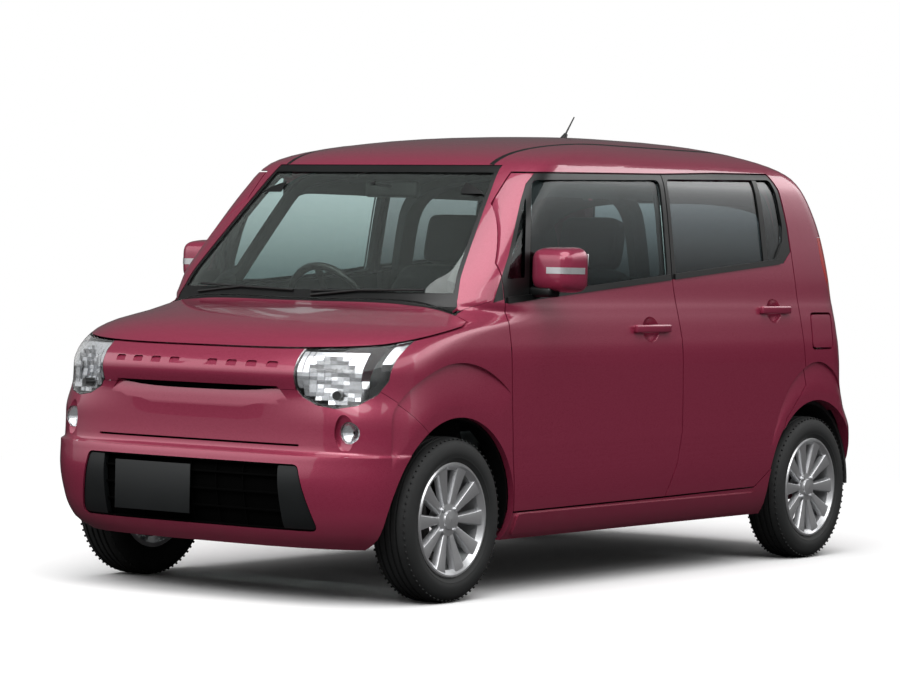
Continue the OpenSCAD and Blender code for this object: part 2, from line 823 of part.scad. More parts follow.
module fuel_lid()
    color(PAINT) place() {
        intersection() {
            shell(0, lid_thickness);
            fuel_zone(-shut_gap / 2);
        }
        difference() {
            union() {
                translate([lid_hinge_x, lid_hinge_y, lid_barrel_z])
                    cylinder(r = lid_barrel_r, h = lid_barrel, $fn = 32);
                translate([lid_hinge_x, lid_hinge_y - lid_barrel_r, lid_barrel_z])
                    cube([11, 2 * lid_barrel_r, lid_barrel]);
            }
            translate([lid_hinge_x, lid_hinge_y, lid_barrel_z - 1])
                cylinder(r = lid_pin_r + pin_play, h = lid_barrel + 2, $fn = 32);
        }
    }

// Well behind the fuel lid
module fuel_well()
    intersection() {
        fuel_zone(lid_gap);
        shell(-10, lid_well);
    }

// Floor from the bulkhead to the tail, seen from the side: bulkhead, toe board, floor, kick-up and
// luggage floor. Heights under FLOOR_RISE are measured from the floor.
FLOOR_LINE = [[175, 925], [205, 560], [420, 0], [1760, 0], [1930, 150], [2690, 150]];
FLOOR_RISE = 300;
floor_points = [
    for (p = FLOOR_LINE)
        [sy(p[0]), (p[1] < FLOOR_RISE ? floor_height + p[1] : p[1]) - floor_thickness / 2]
];
function unit(v) = v / norm(v);
function left_of(v) = [-v[1], v[0]];
// Mitre of the floor's middle line at point i, as the step to a face one unit away
function mitre(i) =
    let (
        a = unit(floor_points[max(i, 1)] - floor_points[max(i, 1) - 1]),
        last = len(floor_points) - 1,
        b = unit(floor_points[min(i + 1, last)] - floor_points[min(i, last - 1)]),
        n = left_of(a) + left_of(b)
    ) 2 * n / (n * n);
function floor_face(i, d) = floor_points[i] + d * mitre(i);
function floor_panel(i, d) =
    let (along = unit(floor_points[i + 1] - floor_points[i]) * seam / 2)
    [floor_face(i, d) + along, floor_face(i + 1, d) - along,
     floor_face(i + 1, -d) - along, floor_face(i, -d) + along];

// Steering axis through a front hub, leaning inwards, with Z along it
kingpin_x = track / 2 - 56;
stub_end = 36;
axle_half = track / 2 - 122;
module kingpin(side)
    translate([side * kingpin_x, 0, hub_z]) rotate([0, -side * kingpin_tilt, 0]) children();

// Inner wall and radius of the rear wheelhouses, clear of the tyre and of the arch
house_room = 80;
house_wall = 14;
house_gap = 2.5;
house_inner = track / 2 - tyre_width / 2 - house_room;
house_outer = half - 47.5;
house_r = arch_radius - house_gap;
// Front rails, with a threaded socket for a tow eye in each front end
rail_x = sx(290);
rail_width = 60;
rail_height = 100;
rail_z = 360;
rail_front = -400;
tower_low = 560;
tower_height = 60;
tower_out = kingpin_x - (tower_low + tower_height / 2 - hub_z) * tan(kingpin_tilt) + 28;
TOW_Z = 393;
TOW_R = 9;
TOW_DEPTH = 50;

module floor_pan()
    color(STEEL) place() {
        difference() {
            for (i = [0:len(floor_points) - 2])
                from_side(-cabin_half + fit, cabin_half - fit) polygon(floor_panel(i, floor_thickness / 2));
            both_sides() axle_cylinder(wheelbase, house_r + seam, house_inner - seam, REACH);
        }
        both_sides() {
            wheelhouse();
            front_rail();
            translate([cabin_half, hood_hinge_y - 30, bracket_top - 40])
                cube([hood_hinge_x - 10 - cabin_half, 50, 40]);
        }
    }

module wheelhouse()
    intersection() {
        difference() {
            axle_cylinder(wheelbase, house_r, house_inner, house_outer);
            axle_cylinder(wheelbase, house_r - house_wall, house_inner + house_wall, house_outer + 1);
        }
        translate([0, wheelbase - arch_radius - 1, hub_z])
            cube([REACH, 2 * arch_radius + 2, 2 * arch_radius]);
    }

// Rail and strut tower, ending at the bulkhead
module front_rail()
    difference() {
        union() {
            translate([rail_x, rail_front, rail_z]) cube([rail_width, 745, rail_height]);
            translate([rail_x, -70, rail_z]) cube([rail_width, 140, 260]);
            translate([rail_x + rail_width, -70, tower_low])
                cube([tower_out - rail_x - rail_width, 140, tower_height]);
        }
        from_side(0, REACH) polygon(concat(
            [for (i = [0:2]) floor_face(i, -floor_thickness / 2 - seam)],
            [[900, 0], [900, 1000]]
        ));
        translate([rail_x + rail_width / 2, rail_front - 1, TOW_Z]) rotate([-90, 0, 0])
            cylinder(r = TOW_R, h = TOW_DEPTH + 1);
        kingpin(LEFT) cylinder(r = strut_r + fit, h = 600);
    }

module dashboard()
    color(TRIM) place() difference() {
        from_side(-sx(560), sx(560)) polygon([
            [216.4, 560], [186.4, 915], [240, 975], [330, 985], [480, 950], [520, 880], [500, 760], [430, 700],
            [380, 560]
        ]);
        steering_frame() translate([0, 0, -400]) cylinder(r = column_r + fit, h = 400);
    }

STEERING_CENTRE = [-310, 640, 960];
STEERING_TILT = 62;
column_r = 18;
module steering_frame()
    translate([sx(STEERING_CENTRE[0]), STEERING_CENTRE[1], STEERING_CENTRE[2]])
        rotate([-STEERING_TILT, 0, 0]) children();
module steering_wheel()
    color(BLACK) place() steering_frame() {
        rotate_extrude() translate([steering_diameter / 2 - 14, 0]) circle(r = 14);
        translate([0, 0, -20]) cylinder(r = 62, h = 34);
        for (a = [0, 180, 270]) rotate([0, 0, a])
            translate([40, -16, -8]) cube([steering_diameter / 2 - 54, 32, 14]);
        translate([0, 0, -190]) cylinder(r = column_r, h = 172);
    }

module cushion(size, r)
    hull() for (x = [-1, 1], y = [-1, 1], z = [-1, 1])
        translate([x * (size[0] / 2 - r), y * (size[1] / 2 - r), z * (size[2] / 2 - r)])
            sphere(r = r, $fn = 12);

module front_seat(side)
    color(SEAT) place() translate([side * sx(310), sy(1100) - 1100, 0]) {
        translate([0, 960, 440]) rotate([-6, 0, 0]) cushion([seat_width, 520, 150], 50);
        translate([0, 1270, 730]) rotate([-18, 0, 0]) cushion([seat_width, 130, 600], 50);
        translate([0, 1385, 1085]) rotate([-14, 0, 0]) cushion([250, 90, 190], 40);
        translate([-180, 740, floor_height + fit]) cube([360, 440, 140]);
    }

module rear_seat()
    color(SEAT) place() translate([0, growth, 0]) {
        translate([0, 1900, 500]) rotate([-5, 0, 0]) cushion([2 * sx(480), 480, 140], 45);
        translate([0, 2180, 760]) rotate([-20, 0, 0]) cushion([2 * sx(480), 120, 560], 45);
        translate([-sx(470), 1945, floor_height + 150 + fit]) cube([2 * sx(470), 130, 90]);
    }

module engine_block()
    color(STEEL) place() translate([-sx(290) + fit, -330, 300]) cube([2 * sx(290) - 2 * fit, 400, 430]);

strut_r = 16;
spigot_r = 9;
joint_low = -118;
joint_high = 200;
strut_length = 290;
module front_suspension()
    color(STEEL) place() {
        translate([-sx(345), -55, 190]) cube([2 * sx(345), 110, 45]);
        for (side = [LEFT, RIGHT]) {
            kingpin(side) difference() {
                translate([0, 0, joint_high]) cylinder(r = strut_r, h = strut_length);
                translate([0, 0, joint_high - 10]) cylinder(r = spigot_r + fit, h = 60);
            }
            difference() {
                union() {
                    kingpin(side) translate([0, 0, joint_low - 24]) cylinder(r = 20, h = 24);
                    on_side(side) hull() {
                        translate([kingpin_x - 6, -20, hub_z - 136]) cube([16, 40, 14]);
                        translate([sx(330), -50, 195]) cube([16, 100, 30]);
                    }
                }
                kingpin(side) translate([0, 0, joint_low - 60]) cylinder(r = spigot_r + fit, h = 100);
            }
        }
    }

module knuckle(side)
    color(STEEL) place() {
        kingpin(side) {
            translate([0, 0, joint_low + fit]) cylinder(r = strut_r, h = joint_high - joint_low - 2 * fit);
            translate([0, 0, joint_low - 22]) cylinder(r = spigot_r, h = joint_high - joint_low + 62);
        }
        translate([side * kingpin_x, 0, hub_z]) rotate([0, side * 90, 0])
            cylinder(d = stub_diameter, h = track / 2 - kingpin_x + stub_end);
    }

module rear_axle()
    color(STEEL) place() translate([0, wheelbase, 0]) {
        translate([-axle_half, -60, hub_z - 56]) cube([2 * axle_half, 70, 50]);
        both_sides() {
            translate([axle_half - 16, -60, hub_z - 56]) cube([16, 90, 86]);
            translate([axle_half - 16, 0, hub_z]) rotate([0, 90, 0])
                cylinder(d = stub_diameter, h = track / 2 - axle_half + 16 + stub_end);
            translate([axle_half - 96, -420, hub_z - 56]) cube([46, 430, 50]);
            translate([axle_half - 96, -420, hub_z - 56])
                cube([46, 40, floor_height + 150 - floor_thickness - fit - hub_z + 56]);
        }
    }

module exhaust()
    color(STEEL) place() translate([sx(-300), wheelbase + 70, 280]) {
        rotate([-90, 0, 0]) cylinder(r = 80, h = 220);
        translate([0, 219, 0]) rotate([-90, 0, 0]) cylinder(r = 20, h = 36);
        translate([-12, 40, 0]) cube([24, 30, floor_height + 150 - floor_thickness - fit - 280]);
    }

module antenna()
    color(BLACK) place() difference() {
        translate([0, sy(1690), sz(1618)]) rotate([-42, 0, 0]) {
            cylinder(r = 4, h = 130, $fn = 16);
            cylinder(r = 12, h = 26, $fn = 24);
        }
        form(-fit);
    }

module interior_mirror()
    color(BLACK) place() intersection() {
        union() {
            translate([0, 590, sz(1395)]) cushion([240, 36, 66], 16);
            translate([-9, 440, sz(1400)]) cube([18, 150, 18]);
        }
        form(3 + glass_thickness + fit);
    }

module front_wipers()
    color(BLACK) place() intersection() {
        shell(-9, 3 - fit);
        from_front(-100, 400) for (blade = WIPERS) polygon(front_points(blade));
    }

module tyre(side, y)
    color(BLACK) place() translate([side * track / 2, y, hub_z]) rotate([0, side * 90, 0])
        rotate_extrude() polygon([
            [rim_diameter / 2 - 14, -tyre_width / 2 + 20], [rim_diameter / 2 + 8, -tyre_width / 2 + 6],
            [tyre_diameter / 2 - 36, -tyre_width / 2], [tyre_diameter / 2 - 10, -tyre_width / 2 + 12],
            [tyre_diameter / 2, -tyre_width / 2 + 28], [tyre_diameter / 2, tyre_width / 2 - 28],
            [tyre_diameter / 2 - 10, tyre_width / 2 - 12], [tyre_diameter / 2 - 36, tyre_width / 2],
            [rim_diameter / 2 + 8, tyre_width / 2 - 6], [rim_diameter / 2 - 14, tyre_width / 2 - 20]
        ]);

module rim(side, y)
    color(SILVER) place() translate([side * track / 2, y, hub_z]) rotate([0, side * 90, 0]) difference() {
        union() {
            rotate_extrude() polygon([
                [rim_diameter / 2 - 30, -tyre_width / 2 + 20],
                [rim_diameter / 2 - 14 - fit, -tyre_width / 2 + 20],
                [rim_diameter / 2 - 14 - fit, tyre_width / 2 - 19],
                [rim_diameter / 2, tyre_width / 2 - 10], [rim_diameter / 2 - 8, tyre_width / 2 - 6],
                [rim_diameter / 2 - 30, tyre_width / 2 - 24]
            ]);
            translate([0, 0, tyre_width / 2 - 50]) linear_extrude(26) {
                circle(r = 52);
                for (k = [0:spoke_count - 1]) rotate(k * 360 / spoke_count)
                    translate([0, -9]) square([rim_diameter / 2 - 24, 18]);
            }
            translate([0, 0, -10]) cylinder(r = 34, h = tyre_width / 2 - 30);
        }
        translate([0, 0, -20]) cylinder(d = stub_diameter + 2 * fit, h = tyre_width / 2 - 20);
    }

floor_pan();
side_frame(LEFT);  // side_frame_left
side_frame(RIGHT);  // side_frame_right
roof_panel();
windscreen();
cowl_panel();
front_fender(LEFT);  // front_fender_left
front_fender(RIGHT);  // front_fender_right
front_bumper();
front_garnish();
lower_grille();
headlamp_bowls();
headlamp_lenses();
position_lamps();
rear_bumper();
tail_lamps();
hinges();
dashboard();
front_seat(LEFT);  // front_seat_left
front_seat(RIGHT);  // front_seat_right
rear_seat();
engine_block();
front_suspension();
rear_axle();
exhaust();
antenna();
interior_mirror();
front_wipers();
hood();
tailgate();
tailgate_glass();
rear_wiper();
fuel_lid();
steering_wheel();
front_door(LEFT);  // front_door_left
front_door(RIGHT);  // front_door_right
rear_door(LEFT);  // rear_door_left
rear_door(RIGHT);  // rear_door_right
front_glass(LEFT);  // front_glass_left
front_glass(RIGHT);  // front_glass_right
rear_glass(LEFT);  // rear_glass_left
rear_glass(RIGHT);  // rear_glass_right
door_mirror(LEFT);  // mirror_left
door_mirror(RIGHT);  // mirror_right
knuckle(LEFT);  // knuckle_left
knuckle(RIGHT);  // knuckle_right
tyre(LEFT, 0);  // tyre_front_left
tyre(RIGHT, 0);  // tyre_front_right
tyre(LEFT, wheelbase);  // tyre_rear_left
tyre(RIGHT, wheelbase);  // tyre_rear_right
rim(LEFT, 0);  // rim_front_left
rim(RIGHT, 0);  // rim_front_right
rim(LEFT, wheelbase);  // rim_rear_left
rim(RIGHT, wheelbase);  // rim_rear_right
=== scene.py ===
"""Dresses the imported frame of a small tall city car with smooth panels, glass, lamps, wheels and a cabin."""
from __future__ import annotations

import itertools
import json
import logging
import math
from collections.abc import Callable
from dataclasses import dataclass, field
from enum import Enum

import bpy
import numpy as np
from mathutils import Matrix, Vector

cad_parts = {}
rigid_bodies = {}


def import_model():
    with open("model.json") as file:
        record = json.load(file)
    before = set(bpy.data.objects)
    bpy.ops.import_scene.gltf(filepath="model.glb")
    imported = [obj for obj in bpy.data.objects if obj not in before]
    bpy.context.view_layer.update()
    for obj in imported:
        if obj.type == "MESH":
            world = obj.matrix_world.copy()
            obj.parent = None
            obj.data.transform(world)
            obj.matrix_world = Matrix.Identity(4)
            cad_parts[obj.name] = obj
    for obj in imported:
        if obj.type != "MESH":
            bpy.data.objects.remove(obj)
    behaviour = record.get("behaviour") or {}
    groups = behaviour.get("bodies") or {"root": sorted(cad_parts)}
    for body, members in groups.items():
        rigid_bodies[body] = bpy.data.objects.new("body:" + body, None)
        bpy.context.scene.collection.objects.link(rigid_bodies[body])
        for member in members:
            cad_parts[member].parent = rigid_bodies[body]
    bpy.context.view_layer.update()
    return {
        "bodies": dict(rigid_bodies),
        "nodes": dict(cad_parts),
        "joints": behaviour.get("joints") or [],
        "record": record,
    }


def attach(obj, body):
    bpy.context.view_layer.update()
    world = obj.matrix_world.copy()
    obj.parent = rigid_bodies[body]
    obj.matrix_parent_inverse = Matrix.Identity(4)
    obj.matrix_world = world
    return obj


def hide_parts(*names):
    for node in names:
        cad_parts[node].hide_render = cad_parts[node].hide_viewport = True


LOG = logging.getLogger("city_car")
MM = 0.001
FRONT_AXLE_Y = -1162.5
HUB_Z = 278.5
WHEELBASE = 2425.0
TRACK_HALF = 647.5
ARCH_R = 345.0
SHUT = 6.0
SEAM = 1.2
REACH = 1000.0
HALF, WHOLE, TALL = (0.0, REACH), (-REACH, REACH), (0.0, 2000.0)
AHEAD, BEHIND = -900.0, 3100.0
Point2 = tuple[float, float]
Point3 = tuple[float, float, float]
Outline = list[Point2]
Piece = bpy.types.Object


class Side(Enum):
    """Left and right of the car, with the sign of X."""

    LEFT = 1
    RIGHT = -1

    @property
    def word(self) -> str:
        """Name of the side in node and body names."""
        return self.name.lower()


class Axis(Enum):
    """Direction along which an outline is drawn out into a prism."""

    SIDE = 0
    FRONT = 1
    ABOVE = 2


class Cut(Enum):
    """Boolean operations between closed meshes."""

    KEEP = "INTERSECT"
    TAKE = "DIFFERENCE"
    JOIN = "UNION"


@dataclass(frozen=True)
class Section:
    """One level section of the body, in millimetres from the front axle."""

    height: float
    half: float
    nose: float
    nose_turn: float
    nose_square: float
    tail: float
    tail_turn: float
    tail_square: float


SECTIONS = [Section(*row) for row in (
    (190, 676, -452, 380, 3.2, 2772, 240, 3.0),
    (230, 702, -488, 430, 3.8, 2820, 240, 3.2),
    (300, 722, -516, 450, 4.0, 2850, 240, 3.2),
    (420, 734, -535, 450, 4.0, 2860, 240, 3.2),
    (480, 736, -527, 450, 4.1, 2857, 240, 3.2),
    (499, 736.6, -522, 450, 4.2, 2851, 235, 3.2),
    (507, 736.8, -499, 450, 4.3, 2848, 232, 3.2),
    (516, 737, -493, 450, 4.4, 2844, 230, 3.2),
    (600, 737.5, -490, 450, 4.4, 2785, 220, 3.2),
    (690, 737.5, -494, 450, 3.6, 2760, 215, 3.0),
    (765, 737.5, -520, 460, 3.1, 2752, 210, 3.0),
    (812, 737, -500, 465, 3.1, 2746, 210, 3.0),
    (848, 735, -458, 470, 3.2, 2741, 210, 3.0),
    (882, 731, -415, 485, 3.1, 2736, 210, 3.0),
    (915, 727, -345, 550, 2.9, 2732, 210, 3.0),
    (945, 723, -232, 640, 2.7, 2727, 210, 3.0),
    (970, 719, -98, 560, 2.7, 2723, 210, 3.0),
    (990, 716, 25, 380, 3.0, 2720, 210, 3.0),
    (1007, 713, 62, 330, 3.4, 2717, 210, 3.0),
    (1100, 703, 154, 270, 4.0, 2702, 205, 3.0),
    (1253, 683, 305, 250, 4.2, 2665, 200, 3.0),
    (1390, 662, 441, 235, 4.3, 2595, 195, 3.0),
    (1450, 648, 499, 235, 4.2, 2550, 195, 3.0),
    (1490, 628, 545, 240, 4.0, 2512, 200, 3.0),
    (1520, 600, 607, 270, 3.6, 2470, 220, 2.9),
    (1548, 552, 705, 320, 3.2, 2410, 250, 2.8),
    (1575, 478, 860, 380, 3.0, 2320, 280, 2.7),
    (1598, 380, 1060, 380, 2.8, 2200, 300, 2.6),
    (1613, 260, 1290, 330, 2.6, 2050, 260, 2.5),
    (1622, 110, 1550, 140, 2.4, 1850, 120, 2.4),
)]

# Outlines of the shut lines, drawn from the side (behind the front axle, height) or from the front
REAR_EDGE = [(1331, 293), (1395, 420), (1418, 536), (1416, 700), (1410, 869), (1378, 1071), (1391, 1478)]
FRONT_EDGE = [(505, 1457), (287, 1138), (290, 1025), (298, 860), (306, 674), (320, 480), (352, 287)]
FRONT_DOOR = REAR_EDGE + FRONT_EDGE
REAR_DOOR = REAR_EDGE[::-1] + [
    (1976, 300), (2110, 379), (2190, 556), (2337, 684), (2312, 860), (2279, 1133), (2262, 1300),
    (2232, 1440), (2190, 1502), (1800, 1494),
]
FRONT_WINDOW = [(430, 1024), (1350, 1098), (1362, 1456), (430, 1429)]
REAR_WINDOW = [(1406, 1104), (2150, 1168), (2214, 1240), (2226, 1300), (2208, 1430), (2186, 1480),
               (1414, 1460)]
# Edges by the front pillar, drawn on the plane x = 700 and carried along the line of sight
PANE_FRONT = [(449, 900), (449, 1432), (2600, 1496), (2600, 900)]
SAIL_WINDOW = [(312, 1085), (418, 1092), (418, 1390), (343, 1172)]
SASH_FRONT = [(225, 994), (317, 1167), (383, 1358), (412, 1418), (437, 1436), (640, 1600)]
SIGHT = 1.455
ROOF_LINE = [(300, 1478), (505, 1482), (1000, 1500), (1600, 1516), (2200, 1524), (2420, 1518)]
HOOD_LINE = [(-700, 848), (-460, 849), (-300, 868), (45, 927), (110, 948), (180, 985)]
FENDER_BACK = [(290, 1025), (298, 860), (306, 674), (320, 480), (352, 287), (352, 150)]
FENDER_TOP = [(60, 936), (110, 968), (235, 1013), (284, 1022)]
BUMPER_SEAM = [(-357, 712), (-161, 567)]
REAR_SEAM = [(2560, 560), (2640, 598), (3100, 602)]
GATE_EDGE = [(575, 606), (600, 680), (606, 900), (582, 1030), (560, 1270), (549, 1440), (545, 1600)]
GATE_WINDOW = [(455, 1075), (470, 1110), (446, 1330), (414, 1425), (385, 1440)]
TAIL_LAMP = [(606, 1015), (722, 1022), (722, 1262), (584, 1262)]
TAIL_LAMP_EDGE = [(2572, 950), (2566, 1028), (2535, 1095), (2506, 1166), (2493, 1253), (2493, 1320)]
SCREEN_EDGE = [(622, 900), (618, 986), (497, 1470), (488, 1560)]
HEADLAMP = [(415, 900), (415, 722), (436, 692), (490, 666), (556, 656), (620, 668), (664, 702), (686, 750),
            (692, 900)]
GRILLE = [(512, 252), (452, 470)]
FUEL_LID = [(2385, 828), (2545, 828), (2545, 962), (2385, 962)]
BELT = [(200, 996), (2210, 1158), (2300, 1225), (2300, 1600), (200, 1600)]
POSITION_LAMP = (600.0, 578.0)
BUMPER_TOP = 712.0
GATE_TOP = 2423.0
HOOD_BACK, HOOD_BOW, HOOD_BOW_AT, COWL_DEPTH = 40.0, 43.0, 630.0, 26.0
SKIN, WALL, FRAME_DEPTH, ROOF_DEPTH, GATE_DEPTH = 22.0, 60.0, 94.0, 34.0, 45.0
DOOR_INSIDE, NECK_X, GATE_ARM_X = 550.0, 630.0, 340.0
GLASS_GAP, WINDOW_RADIUS, SAIL_RADIUS, GATE_WINDOW_RADIUS = 0.4, 26.0, 8.0, 36.0
PANE_DEPTH, POST_DEPTH = (9.0, 14.0), (122.0, 152.0)
PLATE, PLATE_BEVEL, PLATE_Z = (330.0, 4.0, 165.0), 1.4, 800.0


# Plane geometry

def fillet(points: Outline, radius: float, steps: int = 5) -> Outline:
    """Rounds the corners of a closed outline.

    Args:
        points: Corners of the outline in order.
        radius: Wanted radius of each corner, shortened where its edges are short.
        steps: Number of chords in each corner.

    Returns:
        The outline with each corner drawn as an arc.
    """
    out: Outline = []
    count = len(points)
    for i, corner in enumerate(points):
        here = Vector(corner)
        before = Vector(points[i - 1]) - here
        after = Vector(points[(i + 1) % count]) - here
        angle = before.angle(after)
        if angle > math.radians(172):
            out.append(corner)
            continue
        reach = min(radius / math.tan(angle / 2), before.length * 0.45, after.length * 0.45)
        first = here + before.normalized() * reach
        last = here + after.normalized() * reach
        for k in range(steps + 1):
            t = k / steps
            spot = first.lerp(here, t).lerp(here.lerp(last, t), t)
            out.append((spot.x, spot.y))
    return out


def grow(points: Outline, by: float) -> Outline:
    """Moves a closed outline outwards by a distance, or inwards where it is negative."""
    if by == 0:
        return list(points)
    area = sum(a[0] * b[1] - b[0] * a[1] for a, b in zip(points, points[1:] + points[:1]))
    turn = 1.0 if area > 0 else -1.0
    out: Outline = []
    for i, corner in enumerate(points):
        here = Vector(corner)
        one = (here - Vector(points[i - 1])).normalized()
        two = (Vector(points[(i + 1) % len(points)]) - here).normalized()
        normal_one = Vector((one.y, -one.x)) * turn
        normal_two = Vector((two.y, -two.x)) * turn
        middle = normal_one + normal_two
        middle = middle / max(middle.length_squared / 2.0, 0.35)
        spot = here + middle * by
        out.append((spot.x, spot.y))
    return out


def inside(points: Outline, spot: Point2) -> bool:
    """Whether a spot lies within a closed outline."""
    within = False
    for (ax, ay), (bx, by) in zip(points, points[1:] + points[:1]):
        if (ay > spot[1]) != (by > spot[1]) and spot[0] < (bx - ax) * (spot[1] - ay) / (by - ay) + ax:
            within = not within
    return within


def circle(centre: Point2, radius: float, steps: int) -> Outline:
    """Outline of a circle."""
    return [(centre[0] + radius * math.cos(a), centre[1] + radius * math.sin(a))
            for a in np.linspace(0, 2 * math.pi, steps, endpoint=False)]


def both_halves(points: Outline) -> Outline:
    """Closes a half outline, seen from the front, with its mirror image."""
    return points + [(-x, z) for x, z in reversed(points)]


def cowl_curve(offset: float) -> Outline:
    """Rear edge of the hood seen from above, moved back by an offset."""
    return [(x, HOOD_BACK + HOOD_BOW * (x / HOOD_BOW_AT) ** 2 + offset) for x in range(-780, 781, 30)]


# Meshes

def place(x: float, y: float, z: float) -> Vector:
    """Carries a place in millimetres from the front axle to the scene's metres."""
    return Vector((x, y + FRONT_AXLE_Y, z)) * MM


def deselect() -> None:
    """Leaves edit mode and clears the selection."""
    if bpy.context.object and bpy.context.object.mode != "OBJECT":
        bpy.ops.object.mode_set(mode="OBJECT")
    bpy.ops.object.select_all(action="DESELECT")


def activate(piece: Piece) -> Piece:
    """Selects one piece alone and makes it active."""
    deselect()
    piece.select_set(True)
    bpy.context.view_layer.objects.active = piece
    return piece


def mesh_piece(name: str, points: list[Vector], faces: list[list[int]]) -> Piece:
    """Makes a piece from points and faces."""
    mesh = bpy.data.meshes.new(name)
    mesh.from_pydata([tuple(p) for p in points], [], faces)
    mesh.update()
    piece = bpy.data.objects.new(name, mesh)
    bpy.context.scene.collection.objects.link(piece)
    return piece


def recalculate(piece: Piece) -> Piece:
    """Merges doubles and turns every face outwards."""
    activate(piece)
    bpy.ops.object.mode_set(mode="EDIT")
    bpy.ops.mesh.select_all(action="SELECT")
    bpy.ops.mesh.remove_doubles(threshold=1e-6)
    bpy.ops.mesh.normals_make_consistent(inside=False)
    bpy.ops.object.mode_set(mode="OBJECT")
    return piece


def apply_modifiers(piece: Piece) -> Piece:
    """Applies every modifier of a piece in order."""
    activate(piece)
    for modifier in list(piece.modifiers):
        bpy.ops.object.modifier_apply(modifier=modifier.name)
    return piece


def settle(piece: Piece) -> Piece:
    """Moves a piece's place into its mesh."""
    activate(piece)
    bpy.ops.object.transform_apply(location=True, rotation=True, scale=True)
    return piece


def copy_piece(piece: Piece, name: str) -> Piece:
    """Copies a piece with its own mesh."""
    twin = bpy.data.objects.new(name, piece.data.copy())
    bpy.context.scene.collection.objects.link(twin)
    return twin


def remove(*pieces: Piece) -> None:
    """Deletes working pieces and their meshes."""
    for piece in pieces:
        mesh = piece.data
        bpy.data.objects.remove(piece)
        if mesh.users == 0:
            bpy.data.meshes.remove(mesh)


def boolean(piece: Piece, tool: Piece, cut: Cut, keep_tool: bool = False) -> Piece:
    """Cuts, keeps or joins a piece with a tool.

    Args:
        piece: The closed mesh that changes.
        tool: The closed mesh that it meets.
        cut: The operation.
        keep_tool: Whether the tool stays for later use.

    Returns:
        The changed piece.
    """
    modifier = piece.modifiers.new("cut", "BOOLEAN")
    modifier.operation = cut.value
    modifier.solver = "MANIFOLD"
    modifier.object = tool
    activate(piece)
    bpy.ops.object.modifier_apply(modifier=modifier.name)
    if not keep_tool:
        remove(tool)
    return piece


def join(name: str, pieces: list[Piece]) -> Piece:
    """Joins pieces into one object of a given name."""
    deselect()
    for piece in pieces:
        piece.select_set(True)
    bpy.context.view_layer.objects.active = pieces[0]
    if len(pieces) > 1:
        bpy.ops.object.join()
    pieces[0].name = name
    pieces[0].data.name = name
    return pieces[0]


def mirrored(piece: Piece, name: str) -> Piece:
    """Copies a piece to the other side of the car, with its faces outwards."""
    twin = copy_piece(piece, name)
    twin.data.transform(Matrix.Scale(-1, 4, (1, 0, 0)))
    twin.data.flip_normals()
    return twin


def smooth(piece: Piece, degrees: float = 30.0) -> Piece:
    """Shades a piece smooth, apart from edges sharper than an angle."""
    activate(piece)
    bpy.ops.object.shade_smooth_by_angle(angle=math.radians(degrees))
    return piece


def prism(outline: Outline, axis: Axis, low: float, high: float) -> Piece:
    """Draws an outline out into a closed prism.

    Args:
        outline: Corners in millimetres from the front axle.
        axis: Direction of the prism.
        low: Start along that direction.
        high: End along that direction.

    Returns:
        The prism, its faces outwards.
    """
    def spot(p: Point2, t: float) -> Vector:
        """Corner of the prism at one end."""
        if axis is Axis.SIDE:
            return place(t, p[0], p[1])
        if axis is Axis.FRONT:
            return place(p[0], t, p[1])
        return place(p[0], p[1], t)

    count = len(outline)
    points = [spot(p, t) for t in (low, high) for p in outline]
    faces = [list(range(count))[::-1], list(range(count, 2 * count))]
    faces += [[i, (i + 1) % count, count + (i + 1) % count, count + i] for i in range(count)]
    return recalculate(mesh_piece("prism", points, faces))


def box_tool(x: Point2, y: Point2, z: Point2) -> Piece:
    """Closed box between two corners, in millimetres from the front axle."""
    return prism([(x[0], y[0]), (x[1], y[0]), (x[1], y[1]), (x[0], y[1])], Axis.ABOVE, z[0], z[1])


def lathe(name: str, profile: Outline, centre: Vector, turn: Matrix, steps: int = 96) -> Piece:
    """Spins a profile of (radius, depth) round its axis.

    Args:
        name: Name of the piece.
        profile: Closed loop of radius and depth along the axis, in millimetres.
        centre: Place of the axis, in metres.
        turn: Turns the local Z axis to the wanted direction.
        steps: Number of steps round.

    Returns:
        The spun piece.
    """
    deselect()
    count = len(profile)
    edges = [(i, (i + 1) % count) for i in range(count)]
    mesh = bpy.data.meshes.new(name)
    mesh.from_pydata([(r * MM, 0, d * MM) for r, d in profile], edges, [])
    piece = bpy.data.objects.new(name, mesh)
    bpy.context.scene.collection.objects.link(piece)
    activate(piece)
    bpy.ops.object.mode_set(mode="EDIT")
    bpy.ops.mesh.select_all(action="SELECT")
    bpy.ops.mesh.spin(steps=steps, angle=2 * math.pi, center=(0, 0, 0), axis=(0, 0, 1), use_auto_merge=True)
    bpy.ops.object.mode_set(mode="OBJECT")
    recalculate(piece)
    piece.data.transform(Matrix.Translation(centre) @ turn)
    return piece


def rounded_box(name: str, centre: Vector, size: Point3, bevel: float, segments: int = 3) -> Piece:
    """Adds a cube of a size in millimetres, with rounded edges, at a place in metres."""
    deselect()
    bpy.ops.mesh.primitive_cube_add(size=1.0, location=(0, 0, 0))
    piece = bpy.context.object
    piece.name = name
    piece.data.transform(Matrix.Diagonal((size[0] * MM, size[1] * MM, size[2] * MM, 1.0)))
    bpy.ops.object.mode_set(mode="EDIT")
    bpy.ops.mesh.select_all(action="SELECT")
    bpy.ops.mesh.bevel(offset=bevel * MM, segments=segments, affect="EDGES")
    bpy.ops.object.mode_set(mode="OBJECT")
    piece.data.transform(Matrix.Translation(centre))
    return smooth(piece, 40)


